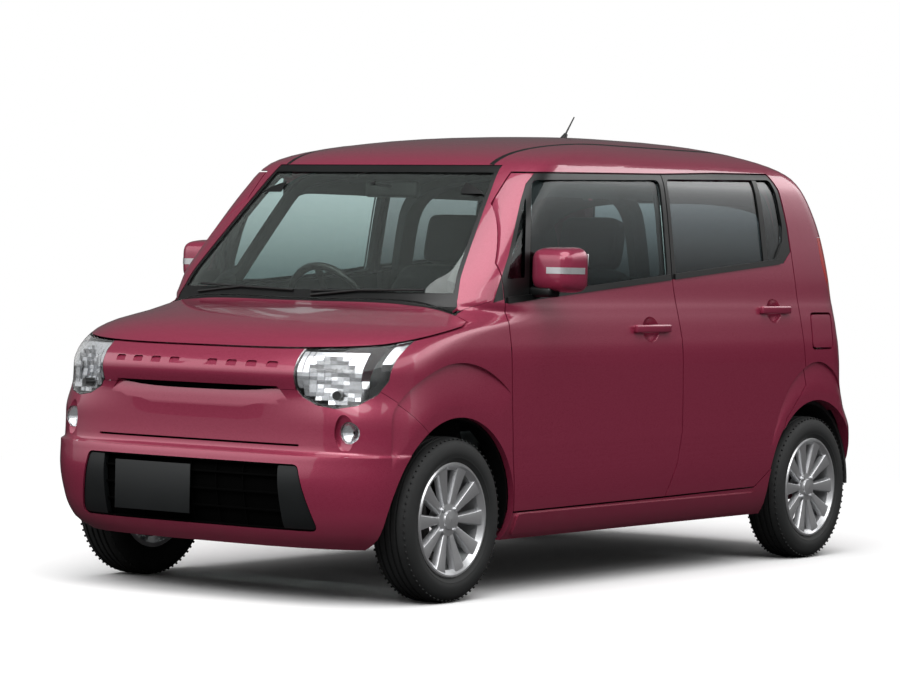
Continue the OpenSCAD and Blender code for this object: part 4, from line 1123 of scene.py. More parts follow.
@dataclass
class BodyShell:
    """Roof, side frames, fenders, hood and fuel lid."""

    shop: Workshop
    sill: tuple[float, float, float, float] = (372.0, 1992.0, 204.0, 283.0)
    sill_proud: float = 9.0
    fender_inside: float = 640.0
    ditch: Point2 = (446.0, 465.0)
    pillar_skin: float = 9.0
    flange_reach: float = 470.0
    flange_width: float = 34.0
    lip_depth: Point2 = (0.8, 16.0)
    fuel_well: float = 663.0
    pillar_depth: float = 34.0

    def build(self) -> None:
        """Builds and fits every panel."""
        self.roof()
        self.side_frames()
        self.fenders()
        self.hood()
        self.fuel_lid()

    def roof(self) -> None:
        """Roof panel with a dark moulding let into it along each edge, and its lining."""
        form = self.shop.form
        slots = [arm_slot(side) for side in Side]
        piece = form.shell("roof_panel", 0, ROOF_DEPTH, [roof_tools()], *slots)
        lining = copy_piece(piece, "roof_lining")
        form.within(lining, SKIN)
        form.without(piece, SKIN)
        for side in Side:
            strip = form.shell(f"roof_moulding_{side.word}", -0.5, 5, [box_tool(
                on_side(side, *self.ditch), (556, 2372), (1440, 1700)), roof_tools(-0.5)])
            boolean(piece, strip, Cut.TAKE, keep_tool=True)
            self.shop.fit(strip, "body", Coat.BLACK)
        self.shop.fit(piece, "body", Coat.PAINT, "roof_panel")
        self.shop.fit(lining, "body", Coat.GREY)

    def fender_outline(self, by: float = 0.0) -> Outline:
        """Side outline of a front fender."""
        line = [(y - SHUT / 2, z) for y, z in reversed(FENDER_BACK)] + FENDER_TOP[::-1]
        return grow(line + [(60, 1000), (-700, 1000), (-700, 712)] + BUMPER_SEAM + [(-161, 190)], by)

    def side_frames(self) -> None:
        """Sill, pillars, roof rail and rear quarter of each side, with dark door seals behind."""
        form, left = self.shop.form, Side.LEFT
        outline = [(2700, 100), (352, 100)] + [(y + SEAM - SHUT / 2, z) for y, z in reversed(FENDER_BACK)]
        outline += [(y, z + SEAM) for y, z in reversed(FENDER_TOP)] + [(60, 1000)]
        outline += [(y, z - 0.2) for y, z in ROOF_LINE] + [(3100, 1518), (3100, 100)]
        doors = [side_prism(grow(d, SHUT / 2), left, DOOR_INSIDE - SHUT) for d in (FRONT_DOOR, REAR_DOOR)]
        frame = form.shell("side_frame_left", 0, FRAME_DEPTH, [side_prism(outline, left, 1)], *doors)
        y0, y1, z0, z1 = self.sill
        rocker = form.part(0, "rocker")
        boolean(rocker, box_tool((585, 1000), (360, 2090), (0, z1)), Cut.KEEP)
        ledge = form.part(-self.sill_proud, "ledge")
        boolean(ledge, side_prism(fillet([(y0, z0), (y1, z0), (y1, z1 - 4), (y0, z1 - 4)], 16), left, 640),
                Cut.KEEP)
        boolean(frame, rocker, Cut.JOIN)
        boolean(frame, ledge, Cut.JOIN)
        fender = side_prism(self.fender_outline(SEAM), left, self.fender_inside - SEAM)
        form.without(fender, SKIN + SEAM)
        for tool in (arch_tool(0, left), arch_tool(WHEELBASE, left), screen_tools(SEAM), gate_tools(SHUT),
                     tail_lamp_tools(left, SEAM), side_prism(rear_bumper_outline(SEAM), left),
                     hood_tools(SHUT), cowl_tools(SEAM), neck_slot(left), arm_slot(left),
                     box_tool(HALF, (0, 107), (900, 990)), fender, REAR_CREASE.tool(form, left)):
            boolean(frame, tool, Cut.TAKE)
        core = form.part(WALL, "core")
        pillar = boolean(form.part(self.pillar_skin, "pillar"),
                         box_tool(HALF, (60, 640), (1030, 1700)), Cut.KEEP)
        boolean(core, pillar, Cut.JOIN)
        lining = copy_piece(frame, "frame_lining_left")
        boolean(lining, core, Cut.KEEP, keep_tool=True)
        boolean(frame, core, Cut.TAKE)
        hollow = boolean(form.part(self.pillar_depth, "hollow"),
                         box_tool(HALF, (60, 640), (1030, 1440)), Cut.KEEP)
        boolean(lining, hollow, Cut.TAKE)
        seal = join("door_seal_left", [self.door_seal(), lining])
        other = mirrored(frame, "side_frame_right")
        well = side_prism(fillet(grow(FUEL_LID, 6), 22), left, self.fuel_well)
        boolean(frame, well, Cut.TAKE)
        self.shop.fit(frame, "body", Coat.PAINT, "side_frame_left")
        self.shop.fit(other, "body", Coat.PAINT, "side_frame_right")
        self.shop.pair(seal, "door_seal", Coat.BLACK)
        self.corner_trims()

    def corner_trims(self) -> None:
        """Dark corner on the pillar, ahead of the front door's sash."""
        outline = [(215, 1001), (283.5, 1017), (283.5, 1140), (215, 1140)]
        piece = self.shop.form.shell("corner_trim_left", -1.0, -0.05, [side_prism(outline, Side.LEFT, 600)],
                                     ahead_of_sash())
        self.shop.pair(piece, "corner_trim", Coat.BLACK)

    def door_seal(self) -> Piece:
        """Dark flange round the door openings, the pillar between the doors and a lip in the shut line."""
        form, left = self.shop.form, Side.LEFT
        band = side_prism(grow(FRONT_DOOR, SHUT), left, self.flange_reach)
        boolean(band, side_prism(grow(REAR_DOOR, SHUT), left, self.flange_reach), Cut.JOIN)
        boolean(band, side_prism(grow(FRONT_DOOR, -self.flange_width), left, 500), Cut.TAKE)
        boolean(band, side_prism(grow(REAR_DOOR, -self.flange_width), left, 500), Cut.TAKE)
        boolean(band, box_tool(HALF, (1250, 1520), TALL), Cut.TAKE)
        boolean(band, box_tool(HALF, (-500, 430), (0, 1020)), Cut.TAKE)
        flange = form.shell("door_seal_left", WALL + SHUT, FRAME_DEPTH, [band], arch_tool(WHEELBASE, left))
        pillar = form.shell("pillar", *POST_DEPTH,
                            [side_prism([(1350, 250), (1440, 250), (1440, 1500), (1350, 1500)], left)])
        foot = form.shell("foot", *POST_DEPTH, [side_prism([(325, 430), (400, 430), (400, 940), (345, 1090),
                                                            (325, 960)], left, 563)])
        lip = side_prism(grow(FRONT_DOOR, SHUT), left, 400)
        boolean(lip, side_prism(grow(FRONT_DOOR, SEAM), left, 300), Cut.TAKE)
        boolean(lip, box_tool(HALF, (446, 760), (1380, 1520)), Cut.KEEP)
        top = form.shell("lip", *self.lip_depth, [lip])
        return join("door_seal_left", [flange, pillar, foot, top])

    def fenders(self) -> None:
        """Front fenders with the crease above the arch."""
        form, left = self.shop.form, Side.LEFT
        piece = form.shell(
            "front_fender_left", 0, SKIN, [side_prism(self.fender_outline(), left, self.fender_inside)],
            arch_tool(0, left), hood_tools(SHUT), lamp_tools(left, SEAM),
            side_prism(bumper_outline(SEAM), left), screen_tools(SEAM),
            cowl_tools(SEAM), neck_slot(left), FRONT_CREASE.tool(form, left))
        self.shop.pair(piece, "front_fender", Coat.PAINT, "front_fender_*")
        self.shop.pair(self.arch_liner(), "arch_liner", Coat.BLACK)

    def arch_liner(self) -> Piece:
        """Dark half cylinder inside a front arch."""
        arc = [math.radians(a) for a in np.linspace(-8, 188, 60)]
        outline = [(r * math.cos(a), HUB_Z + r * math.sin(a))
                   for r, way in ((ARCH_R - 1, 1), (ARCH_R - 7, -1)) for a in arc[::way]]
        piece = prism(outline, Axis.SIDE, 655, 712)
        piece.name = "arch_liner_left"
        return self.shop.form.within(piece, SKIN + 3)

    def hood(self) -> None:
        """Hood with its necks to the hinges."""
        piece = self.shop.form.shell("hood", 0, SKIN, [hood_tools()])
        necks = []
        for side in Side:
            line = [(211, 958), (200, 968), (189, 964), (130, 904), (64, 944), (64, 928), (134, 889),
                    (146, 893), (208, 950)]
            necks.append(side_prism(line, side, NECK_X - 4, NECK_X + 4))
        self.shop.fit(join("hood", [piece, *necks]), "hood", Coat.PAINT, "hood")

    def fuel_lid(self) -> None:
        """Rounded lid over the filler, with its barrel."""
        piece = self.shop.form.shell("fuel_lid", 0, 8,
                                     [side_prism(fillet(grow(FUEL_LID, -3), 18), Side.LEFT, 600)])
        barrel = rod("barrel", place(712, 2424, 875), place(712, 2424, 915), 5.5)
        arm = rounded_box("arm", place(719, 2424, 895), (10, 10, 38), 1.5, 2)
        self.shop.fit(join("fuel_lid", [piece, barrel, arm]), "fuel_lid", Coat.PAINT, "fuel_lid")


@dataclass(frozen=True)
class DoorPlan:
    """Outlines and places of one kind of door."""

    name: str
    shut: tuple[Point2, ...]
    window: tuple[Point2, ...]
    hinge_y: float
    grip: Point3
    glass: Coat


@dataclass
class Doors:
    """Side doors with sashes, panes, handles and mirrors."""

    shop: Workshop
    step: float = 16.0
    belt_band: float = 20.0
    sash_depth: float = 36.0
    corner_depth: float = 12.0
    cup_radii: Point3 = (24.0, 58.0, 50.0)
    mirror_at: Point3 = (786.0, 500.0, 1122.0)
    mirror_half: Point3 = (92.0, 68.0, 80.0)
    mirror_taper: float = 0.16
    plans: tuple[DoorPlan, ...] = (
        DoorPlan("front", tuple(FRONT_DOOR), tuple(FRONT_WINDOW), 348.0, (1080.0, 1316.0, 912.0), Coat.TINT),
        DoorPlan("rear", tuple(REAR_DOOR), tuple(REAR_WINDOW), 1432.0, (1990.0, 2210.0, 978.0), Coat.DARK))

    def build(self) -> None:
        """Builds each kind of door on the left and its mirror image on the right."""
        form = self.shop.form
        for plan in self.plans:
            panel = self.solid(plan)
            sash = copy_piece(panel, f"{plan.name}_sash_left")
            boolean(panel, prism(BELT, Axis.SIDE, *HALF), Cut.TAKE)
            boolean(sash, prism(BELT, Axis.SIDE, *HALF), Cut.KEEP)
            lining = copy_piece(panel, f"{plan.name}_lining_left")
            form.within(lining, SKIN)
            form.without(panel, SKIN)
            painted = [self.cup(panel, plan), self.handle(plan)]
            if plan.name == "front":
                painted.append(self.painted_edge(sash))
            form.within(sash, 2.0)
            form.without(sash, self.sash_depth)
            if plan.name == "front":
                thin = form.part(self.corner_depth, "thin")
                boolean(thin, box_tool(HALF, (200, 480), (1040, 1700)), Cut.KEEP)
                boolean(sash, thin, Cut.TAKE)
            panel = join(f"{plan.name}_door_left", painted)
            self.fit_pair(panel, f"{plan.name}_door", Coat.PAINT, plan, True)
            self.fit_pair(sash, f"{plan.name}_sash", Coat.BLACK, plan, False)
            self.fit_pair(lining, f"{plan.name}_lining", Coat.GREY, plan, False)
            self.fit_pair(self.pane(plan), f"{plan.name}_glass", plan.glass, plan, True)
        self.extras()

    def painted_edge(self, sash: Piece) -> Piece:
        """Takes the painted strip ahead of the sash's straight front edge off the sash."""
        strip = copy_piece(sash, "painted_edge")
        tool = ahead_of_sash()
        boolean(strip, tool, Cut.KEEP, keep_tool=True)
        self.shop.form.without(strip, self.corner_depth)
        boolean(sash, tool, Cut.TAKE)
        return strip

    def fit_pair(self, piece: Piece, name: str, coat: Coat, plan: DoorPlan, stands: bool) -> None:
        """Fits a piece on the left door and its mirror image on the right."""
        self.shop.pair(piece, name, coat, *([f"{name}_*"] if stands else []), body=f"{plan.name}_door_*")

    def solid(self, plan: DoorPlan) -> Piece:
        """Whole door: skin and stepped inner panel with its window."""
        form, left = self.shop.form, Side.LEFT
        shut = list(plan.shut)
        piece = form.shell(f"{plan.name}_door_left", 0, SKIN,
                           [side_prism(grow(shut, -SHUT / 2), left, DOOR_INSIDE)])
        inner = form.shell("inner", SKIN - 1, WALL, [side_prism(grow(shut, -self.step), left, DOOR_INSIDE)])
        boolean(piece, inner, Cut.JOIN)
        boolean(piece, self.window(plan), Cut.TAKE)
        for z in (530.0, 820.0):
            boolean(piece, box_tool((525, 733.5), (plan.hinge_y - 200, plan.hinge_y + 8), (z - 35, z + 35)),
                    Cut.TAKE)
        for y in (0.0, WHEELBASE):
            boolean(piece, arch_tool(y, left, SHUT), Cut.TAKE)
        if plan.name == "front":
            boolean(piece, sight_prism(fillet(SAIL_WINDOW, SAIL_RADIUS)), Cut.TAKE)
        else:
            boolean(piece, REAR_CREASE.tool(form, left), Cut.TAKE)
        return piece

    def window(self, plan: DoorPlan, by: float = 0.0) -> Piece:
        """Zone of a door's window, grown by a gap."""
        tool = side_prism(grow(fillet(list(plan.window), WINDOW_RADIUS), by), Side.LEFT, 500)
        if plan.name == "front":
            boolean(tool, sight_prism(grow(fillet(PANE_FRONT, 24), by)), Cut.KEEP)
        return tool

    def cup(self, panel: Piece, plan: DoorPlan) -> Piece:
        """Round finger cup pressed into the skin behind the handle."""
        middle = (plan.grip[0] + plan.grip[1]) / 2
        surface = self.shop.form.half_at(middle, plan.grip[2])
        return boolean(panel, ellipsoid(place(surface + 6, middle, plan.grip[2]), self.cup_radii, 40),
                       Cut.TAKE)

    def handle(self, plan: DoorPlan) -> Piece:
        """Bar handle with two feet over the cup."""
        y0, y1, z = plan.grip
        surface = self.shop.form.half_at((y0 + y1) / 2, z)
        bar = rounded_box("bar", place(surface + 11, (y0 + y1) / 2, z), (15, y1 - y0, 29), 6, 4)
        feet = [rounded_box("foot", place(surface + 1, y, z), (20, 34, 24), 5, 3) for y in (y0 + 20, y1 - 20)]
        return join("handle", [bar, *feet])

    def pane(self, plan: DoorPlan) -> Piece:
        """Curved side window just inside the sash."""
        return self.shop.form.shell(
            f"{plan.name}_glass_left", *PANE_DEPTH, [self.window(plan, -GLASS_GAP)])

    def extras(self) -> None:
        """Belt mouldings, quarter panes, the rear window's bar and the mirrors."""
        form, left = self.shop.form, Side.LEFT
        front, rear = self.plans
        quarter = form.shell("quarter_glass_left", *PANE_DEPTH,
                             [sight_prism(grow(fillet(SAIL_WINDOW, SAIL_RADIUS), -GLASS_GAP))])
        self.fit_pair(quarter, "quarter_glass", Coat.TINT, front, False)
        bar = form.shell("rear_window_bar_left", 4, 9, [side_prism(
            [(2062, 1150), (2098, 1154), (2088, 1482), (2056, 1482)], left, 500)])
        boolean(bar, side_prism(grow(fillet(REAR_WINDOW, WINDOW_RADIUS), -GLASS_GAP), left, 500), Cut.KEEP)
        self.fit_pair(bar, "rear_window_bar", Coat.BLACK, rear, False)
        for plan, ends in ((front, (296.0, 1372.0)), (rear, (1388.0, 2180.0))):
            line = [(y, 996 + (y - 200) * 162 / 2010) for y in np.linspace(ends[0] + 6, ends[1] - 6, 12)]
            band = [(y, z - 1) for y, z in line] + [(y, z + self.belt_band) for y, z in reversed(line)]
            strip = form.shell(f"{plan.name}_belt_left", -4, 2.5, [side_prism(band, left, 600)])
            self.fit_pair(strip, f"{plan.name}_belt", Coat.BLACK, plan, False)
        self.mirrors(front)

    def mirror_form(self, name: str, swell: float) -> Piece:
        """Smooth rounded body of a door mirror, narrower to the front, grown by a swell in millimetres."""
        half = [(h + swell) * MM for h in self.mirror_half]

        def shape(u: float, v: float, w: float) -> Point3:
            """Place of a spot of the mirror."""
            taper = 1 - self.mirror_taper * ((1 - v) / 2) ** 2
            return u * half[0] * taper, v * half[1], w * half[2] * taper

        piece = puffed_cube(19, 4.6, shape)
        piece.name = name
        piece.data.transform(Matrix.Translation(place(*self.mirror_at)))
        return piece

    def mirrors(self, plan: DoorPlan) -> None:
        """Door mirrors: a rounded shell, its glass, a clear lamp strip and a dark arm."""
        x, y, z = self.mirror_at
        shell = self.mirror_form("mirror_left", 0)
        glass = rounded_box("mirror_glass_left", place(x + 2, y + self.mirror_half[1] - 1, z), (150, 6, 112),
                            2.4, 2)
        strip = self.mirror_form("mirror_lamp_left", 1.2)
        boolean(strip, box_tool((x - 6, x + 200), (y - 100, y + 26), (z - 14, z + 8)), Cut.KEEP)
        boolean(strip, self.mirror_form("inner", 0.2), Cut.TAKE)
        arm = rounded_box("mirror_arm_left", place(742, y - 22, 1044), (96, 66, 36), 12, 4)
        self.shop.form.without(arm, 4.0)
        self.shop.form.without(shell, -1.0)
        self.fit_pair(shell, "mirror", Coat.PAINT, plan, True)
        self.fit_pair(glass, "mirror_glass", Coat.CHROME, plan, False)
        self.fit_pair(strip, "mirror_lamp", Coat.ALLOY, plan, False)
        self.fit_pair(arm, "mirror_arm", Coat.BLACK, plan, False)


@dataclass
class FrontEnd:
    """Bumper, garnish, grille and lamps of the nose."""

    shop: Workshop
    recess_pitch: float = 82.0
    recesses: int = 4
    lamp_x: float = 532.0
    lamp_z: float = 752.0
    lamp_turn: float = 24.0
    facet: Point2 = (22.0, 13.0)

    def build(self) -> None:
        """Builds and fits each piece of the nose."""
        self.bumper()
        self.garnish()
        self.grille()
        self.headlamps()
        self.position_lamps()

    def dish(self, x: float, z: float, radius: float, depth: float) -> Piece:
        """Shallow bowl cut into the nose."""
        return ellipsoid(place(x, self.shop.form.nose_at(x, z) - 4, z), (radius, depth, radius), 48)

    def wedge(self, corners: Outline, depths: list[float]) -> Piece:
        """Cutter whose back follows a depth at each corner of an outline seen from the front."""
        count = len(corners)
        points = ([place(x, -700, z) for x, z in corners]
                  + [place(x, y, z) for (x, z), y in zip(corners, depths)])
        faces = [list(range(count)), list(range(count, 2 * count))[::-1]]
        faces += [[i, i + count, (i + 1) % count + count, (i + 1) % count] for i in range(count)]
        return recalculate(mesh_piece("wedge", points, faces))

    def slot_dish(self) -> Piece:
        """Wide dish under the garnish, deepest at its top, where it is an open slot."""
        return self.wedge([(-346, 722), (346, 722), (405, 650), (-405, 650)], [-474, -474, -493, -493])

    def bumper(self) -> None:
        """Painted bumper with its openings, and a near-black panel behind them that paints the shade inside
        the nose.
        """
        form = self.shop.form
        steps = [[prism(bumper_outline(), Axis.SIDE, *WHOLE)]]
        for side in Side:
            x = side.value * POSITION_LAMP[0]
            steps += [arch_tool(0, side), lamp_tools(side, SEAM),
                      self.dish(x, POSITION_LAMP[1], 62, 15), self.lamp_hole(x, 37),
                      FRONT_CREASE.tool(form, side)]
        steps += [front_prism(GRILLE, AHEAD, -200, SEAM, 24), self.slot_dish(),
                  prism(fillet([(-433, 528), (433, 528), (433, 535), (-433, 535)], 3), Axis.FRONT, AHEAD,
                        -300)]
        self.shop.fit(form.shell("front_bumper", 0, SKIN, *steps), "body", Coat.PAINT, "front_bumper")
        # Panel that stands only for the shade behind the nose openings, painted near-black.
        shade_panel = form.shell("nose_backing", 34, 42, [box_tool((-540, 540), (AHEAD, -330), (215, 800))],
                             *(lamp_tools(side, 6) for side in Side))
        self.shop.fit(shade_panel, "body", Coat.DEEP)

    def lamp_hole(self, x: float, radius: float) -> Piece:
        """Round hole for a position lamp."""
        return prism(circle((x, POSITION_LAMP[1]), radius, 48), Axis.FRONT, AHEAD, -200)

    def garnish(self) -> None:
        """Painted strip under the hood with a row of rounded recesses."""
        form = self.shop.form
        steps = [[box_tool((-414, 414), (AHEAD, -200), (BUMPER_TOP + SEAM, 1010))], hood_tools(SHUT),
                 self.slot_dish()]
        for k in range(1, self.recesses + 1):
            for side in Side:
                x = side.value * k * self.recess_pitch
                corners = [(x - 21, 800), (x - 15, 804), (x + 15, 804), (x + 21, 800), (x + 21, 784),
                           (x - 21, 784)]
                sinks = [8, 8, 8, 8, 0.2, 0.2]
                steps.append(self.wedge(corners,
                                        [form.nose_at(p, q) + s for (p, q), s in zip(corners, sinks)]))
        self.shop.fit(form.shell("front_garnish", 0, SKIN, *steps), "body", Coat.PAINT, "front_garnish")

    def grille(self) -> None:
        """Lower grille: thin edge and bars in a near-black that also paints the shade within the opening, over
        a dark depth, flat corner trims and a blank plate.
        """
        form = self.shop.form
        ring = front_prism(GRILLE, AHEAD, -200, -1, 24)
        boolean(ring, front_prism(GRILLE, AHEAD, -200, -5, 22), Cut.TAKE)
        pieces = [form.shell("lower_grille", 6, 30, [ring])]
        for z in (311.0, 369.0, 427.0):
            bar = form.shell("bar", 16, 28, [box_tool((-520, 520), (AHEAD, -250), (z, z + 5))])
            pieces.append(boolean(bar, front_prism(GRILLE, AHEAD, -200, -4, 20), Cut.KEEP))
        for x in (-224.0, 0.0, 110.0, 224.0):
            post = form.shell("post", 22, 28, [box_tool((x - 2, x + 2), (AHEAD, -250), (256, 466))])
            pieces.append(post)
        # Grille edge, bars and posts in the near-black that paints the shade inside the opening.
        self.shop.fit(join("lower_grille", pieces), "body", Coat.DEEP, "lower_grille")
        trims = []
        for side in Side:
            edge = flipped([(376, 470), (452, 470), (512, 252), (384, 252)], side)
            trim = form.shell("trim", 5, 26, [prism(fillet(edge, 16), Axis.FRONT, AHEAD, -250)])
            trims.append(boolean(trim, front_prism(GRILLE, AHEAD, -200, -5.5, 22), Cut.KEEP))
        self.shop.fit(join("grille_trims", trims), "body", Coat.GREY)
        plate = rounded_box("front_plate", place(-150, -531, 367), PLATE, PLATE_BEVEL, 2)
        post = rounded_box("post", place(-150, -518, 365), (40, 24, 80), 3, 2)
        self.shop.fit(join("front_plate", [plate, post]), "body", Coat.GREY, angle=None)

    def lamp_spot(self) -> tuple[Vector, Matrix]:
        """Middle of the left bowl's mouth and the turn of its axis."""
        spot = place(self.lamp_x, self.shop.form.nose_at(self.lamp_x, self.lamp_z) + 15, self.lamp_z)
        return spot, Matrix.Rotation(math.radians(self.lamp_turn), 4, "Z")

    def facets(self) -> Piece:
        """Rows of small flat mirrors that fill the bowl, each tilted by itself."""
        form = self.shop.form
        spot, turn = self.lamp_spot()
        zone = grow(HEADLAMP, -13)
        points: list[Vector] = []
        faces: list[list[int]] = []
        wide, high = self.facet
        for i, j in itertools.product(range(-7, 6), range(-8, 8)):
            u, v = i * wide, j * high
            depth = max(4.0, 46 * (1 - (u * u + v * v) / 96**2))
            middle = spot + turn @ Vector((u * MM, depth * MM, v * MM))
            x, z = middle.x / MM, middle.z / MM
            if x > 626 or z > 838 or not inside(zone, (x, z)):
                continue
            lean_u = -0.004 * u + 0.16 * math.sin(2.4 * i + 1.7 * j)
            lean_v = 0.07 - 0.002 * v + 0.13 * math.cos(1.9 * j + 0.8 * i)
            start = len(points)
            for back in (0.0, 7.0):
                for du, dv in ((-1, -1), (1, -1), (1, 1), (-1, 1)):
                    sunk = depth + lean_u * du * wide / 2 + lean_v * dv * high / 2 + back
                    corner = spot + turn @ Vector(((u + du * wide / 2) * MM, sunk * MM,
                                                   (v + dv * high / 2) * MM))
                    least = place(0, form.nose_at(corner.x / MM, corner.z / MM) + 9 + back, 0).y
                    points.append(Vector((corner.x, max(corner.y, least), corner.z)))
            faces += [[start + k for k in loop] for loop in (
                (0, 1, 2, 3), (7, 6, 5, 4), (0, 4, 5, 1), (1, 5, 6, 2), (2, 6, 7, 3), (3, 7, 4, 0))]
        return recalculate(mesh_piece("facets", points, faces))

    def headlamps(self) -> None:
        """Clear lenses, thin dark bezels, chrome bowls with their bulbs and a dark outer corner."""
        form, left = self.shop.form, Side.LEFT
        lens = form.shell("headlamp_lens_left", 0, 3.5, [lamp_tools(left)], hood_tools(SHUT))
        bezel_zone = lamp_tools(left, -0.5)
        boolean(bezel_zone, lamp_tools(left, -5), Cut.TAKE)
        bezel = form.shell("headlamp_bezel_left", 4, 30, [bezel_zone], hood_tools(SHUT + 2))
        bowl = form.shell("headlamp_bowl_left", 74, 84, [lamp_tools(left, -5)], hood_tools(SHUT + 4))
        boolean(bowl, box_tool((0, 640), (AHEAD, 0), TALL), Cut.KEEP)
        corner = form.shell("headlamp_corner_left", 24, 30, [lamp_tools(left, -5)], hood_tools(SHUT + 4))
        boolean(corner, box_tool((626, 1000), (AHEAD, 0), TALL), Cut.KEEP)
        strip = form.shell("strip", 10, 16, [lamp_tools(left, -5)], hood_tools(SHUT + 4))
        boolean(strip, box_tool((656, 1000), (AHEAD, 0), (802, 2000)), Cut.KEEP)
        spot = place(536, form.nose_at(536, 698) + 46, 698)
        bulb = rod("headlamp_bulb_left", spot, spot + Vector((0.014, -0.032, 0)), 16, 15)
        chrome = join("headlamp_bowl_left", [bowl, self.facets(), strip])
        nodes = {"headlamp_lens": ("headlamp_lenses",), "headlamp_bowl": ("headlamp_bowls",)}
        for piece, name, coat in ((lens, "headlamp_lens", Coat.LENS), (bezel, "headlamp_bezel", Coat.BLACK),
                                  (chrome, "headlamp_bowl", Coat.BOWL), (bulb, "headlamp_bulb", Coat.BLACK),
                                  (corner, "headlamp_corner", Coat.GREY)):
            self.shop.pair(piece, name, coat, *nodes.get(name, ()), angle=8.0 if coat is Coat.BOWL else 30.0)

    def position_lamps(self) -> None:
        """Round lamps in their dishes."""
        x, z = POSITION_LAMP
        depth = self.shop.form.nose_at(x, z)
        lens = lathe("position_lens_left", [(0.5, 8), (20, 9.5), (35, 14), (36, 20), (0.5, 20)],
                     place(x, depth, z),
                     TURN_TO_FRONT.inverted(), 48)
        bowl = lathe("position_bowl_left", [(5, 38), (24, 32), (34, 22), (36.5, 22), (36.5, 42), (5, 42)],
                     place(x, depth, z),
                     TURN_TO_FRONT.inverted(), 32)
        for piece, name, coat in ((lens, "position_lens", Coat.LENS), (bowl, "position_bowl", Coat.BOWL)):
            self.shop.pair(piece, name, coat, *(("position_lamps",) if coat is Coat.LENS else ()))


@dataclass
class RearEnd:
    """Tailgate, rear bumper and tail lamps."""

    shop: Workshop

    def build(self) -> None:
        """Builds and fits each piece of the tail."""
        form = self.shop.form
        gate = form.shell("tailgate", 0, SKIN, [gate_tools()])
        boolean(gate, form.shell("inner", SKIN - 1, GATE_DEPTH, [gate_tools(-30)]), Cut.JOIN)
        boolean(gate, front_prism(GATE_WINDOW, 2300, BEHIND, 0, GATE_WINDOW_RADIUS), Cut.TAKE)
        boolean(gate, self.plate_recess(), Cut.TAKE)
        arms = []
        for side in Side:
            line = [(2380, 1531), (2369, 1520), (2380, 1509), (2429, 1492), (2473, 1492), (2473, 1518),
                    (2429, 1518)]
            arms.append(side_prism(line, side, GATE_ARM_X - 14, GATE_ARM_X + 14))
        self.shop.fit(join("tailgate", [gate, *arms]), "tailgate", Coat.PAINT, "tailgate")
        glass = form.shell("tailgate_glass", 5, 10,
                           [front_prism(GATE_WINDOW, 2300, BEHIND, -GLASS_GAP, GATE_WINDOW_RADIUS)])
        self.shop.fit(glass, "tailgate", Coat.DARK, "tailgate_glass")
        plate = rounded_box("rear_plate", place(0, form.tail_at(0, PLATE_Z) - 10, PLATE_Z), PLATE,
                            PLATE_BEVEL, 2)
        self.shop.fit(plate, "tailgate", Coat.GREY, angle=None)
        grip = rounded_box("gate_grip", place(0, form.tail_at(0, 915) - 2, 915), (380, 16, 26), 6, 3)
        self.shop.fit(grip, "tailgate", Coat.PAINT, angle=None)
        self.wiper()
        self.bumper()
        lamp = form.shell("tail_lamp_left", 0, WALL, [tail_lamp_tools(Side.LEFT)], gate_tools(SHUT))
        self.shop.pair(lamp, "tail_lamp", Coat.RED, "tail_lamps")

    def plate_recess(self) -> Piece:
        """Shallow recess for the blank plate."""
        outline = fillet([(-185, 705), (185, 705), (185, 893), (-185, 893)], 18)
        return prism(outline, Axis.FRONT, self.shop.form.tail_at(0, PLATE_Z) - 12, 3100)

    def wiper(self) -> None:
        """Rear wiper: pivot, arm and blade."""
        form = self.shop.form

        def near(x: float, z: float) -> Vector:
            """Place just off the rear surface."""
            return place(x, form.tail_at(x, z) + 9, z)

        pivot = rod("pivot", place(0, form.tail_at(0, 1052) - 6, 1052),
                    place(0, form.tail_at(0, 1052) + 20, 1052), 16, 13)
        arm = rod("arm", near(0, 1054), near(190, 1062), 6, 4)
        blade = rod("blade", near(60, 1058), near(292, 1062), 4, 3)
        self.shop.fit(join("rear_wiper", [pivot, arm, blade]), "tailgate", Coat.BLACK, "rear_wiper",
                      angle=None)

    def bumper(self) -> None:
        """Rear bumper with reflectors."""
        form = self.shop.form
        steps = [[prism(rear_bumper_outline(), Axis.SIDE, *WHOLE)], gate_tools(SHUT)]
        steps += [arch_tool(WHEELBASE, side) for side in Side]
        self.shop.fit(form.shell("rear_bumper", 0, SKIN + 10, *steps), "body", Coat.PAINT, "rear_bumper")
        for side in Side:
            edge = fillet(flipped([(500, 390), (610, 390), (610, 425), (500, 425)], side), 10)
            lens = form.shell(f"reflector_{side.word}", -3, 4, [prism(edge, Axis.FRONT, 2500, 3100)])
            self.shop.fit(lens, "body", Coat.RED)


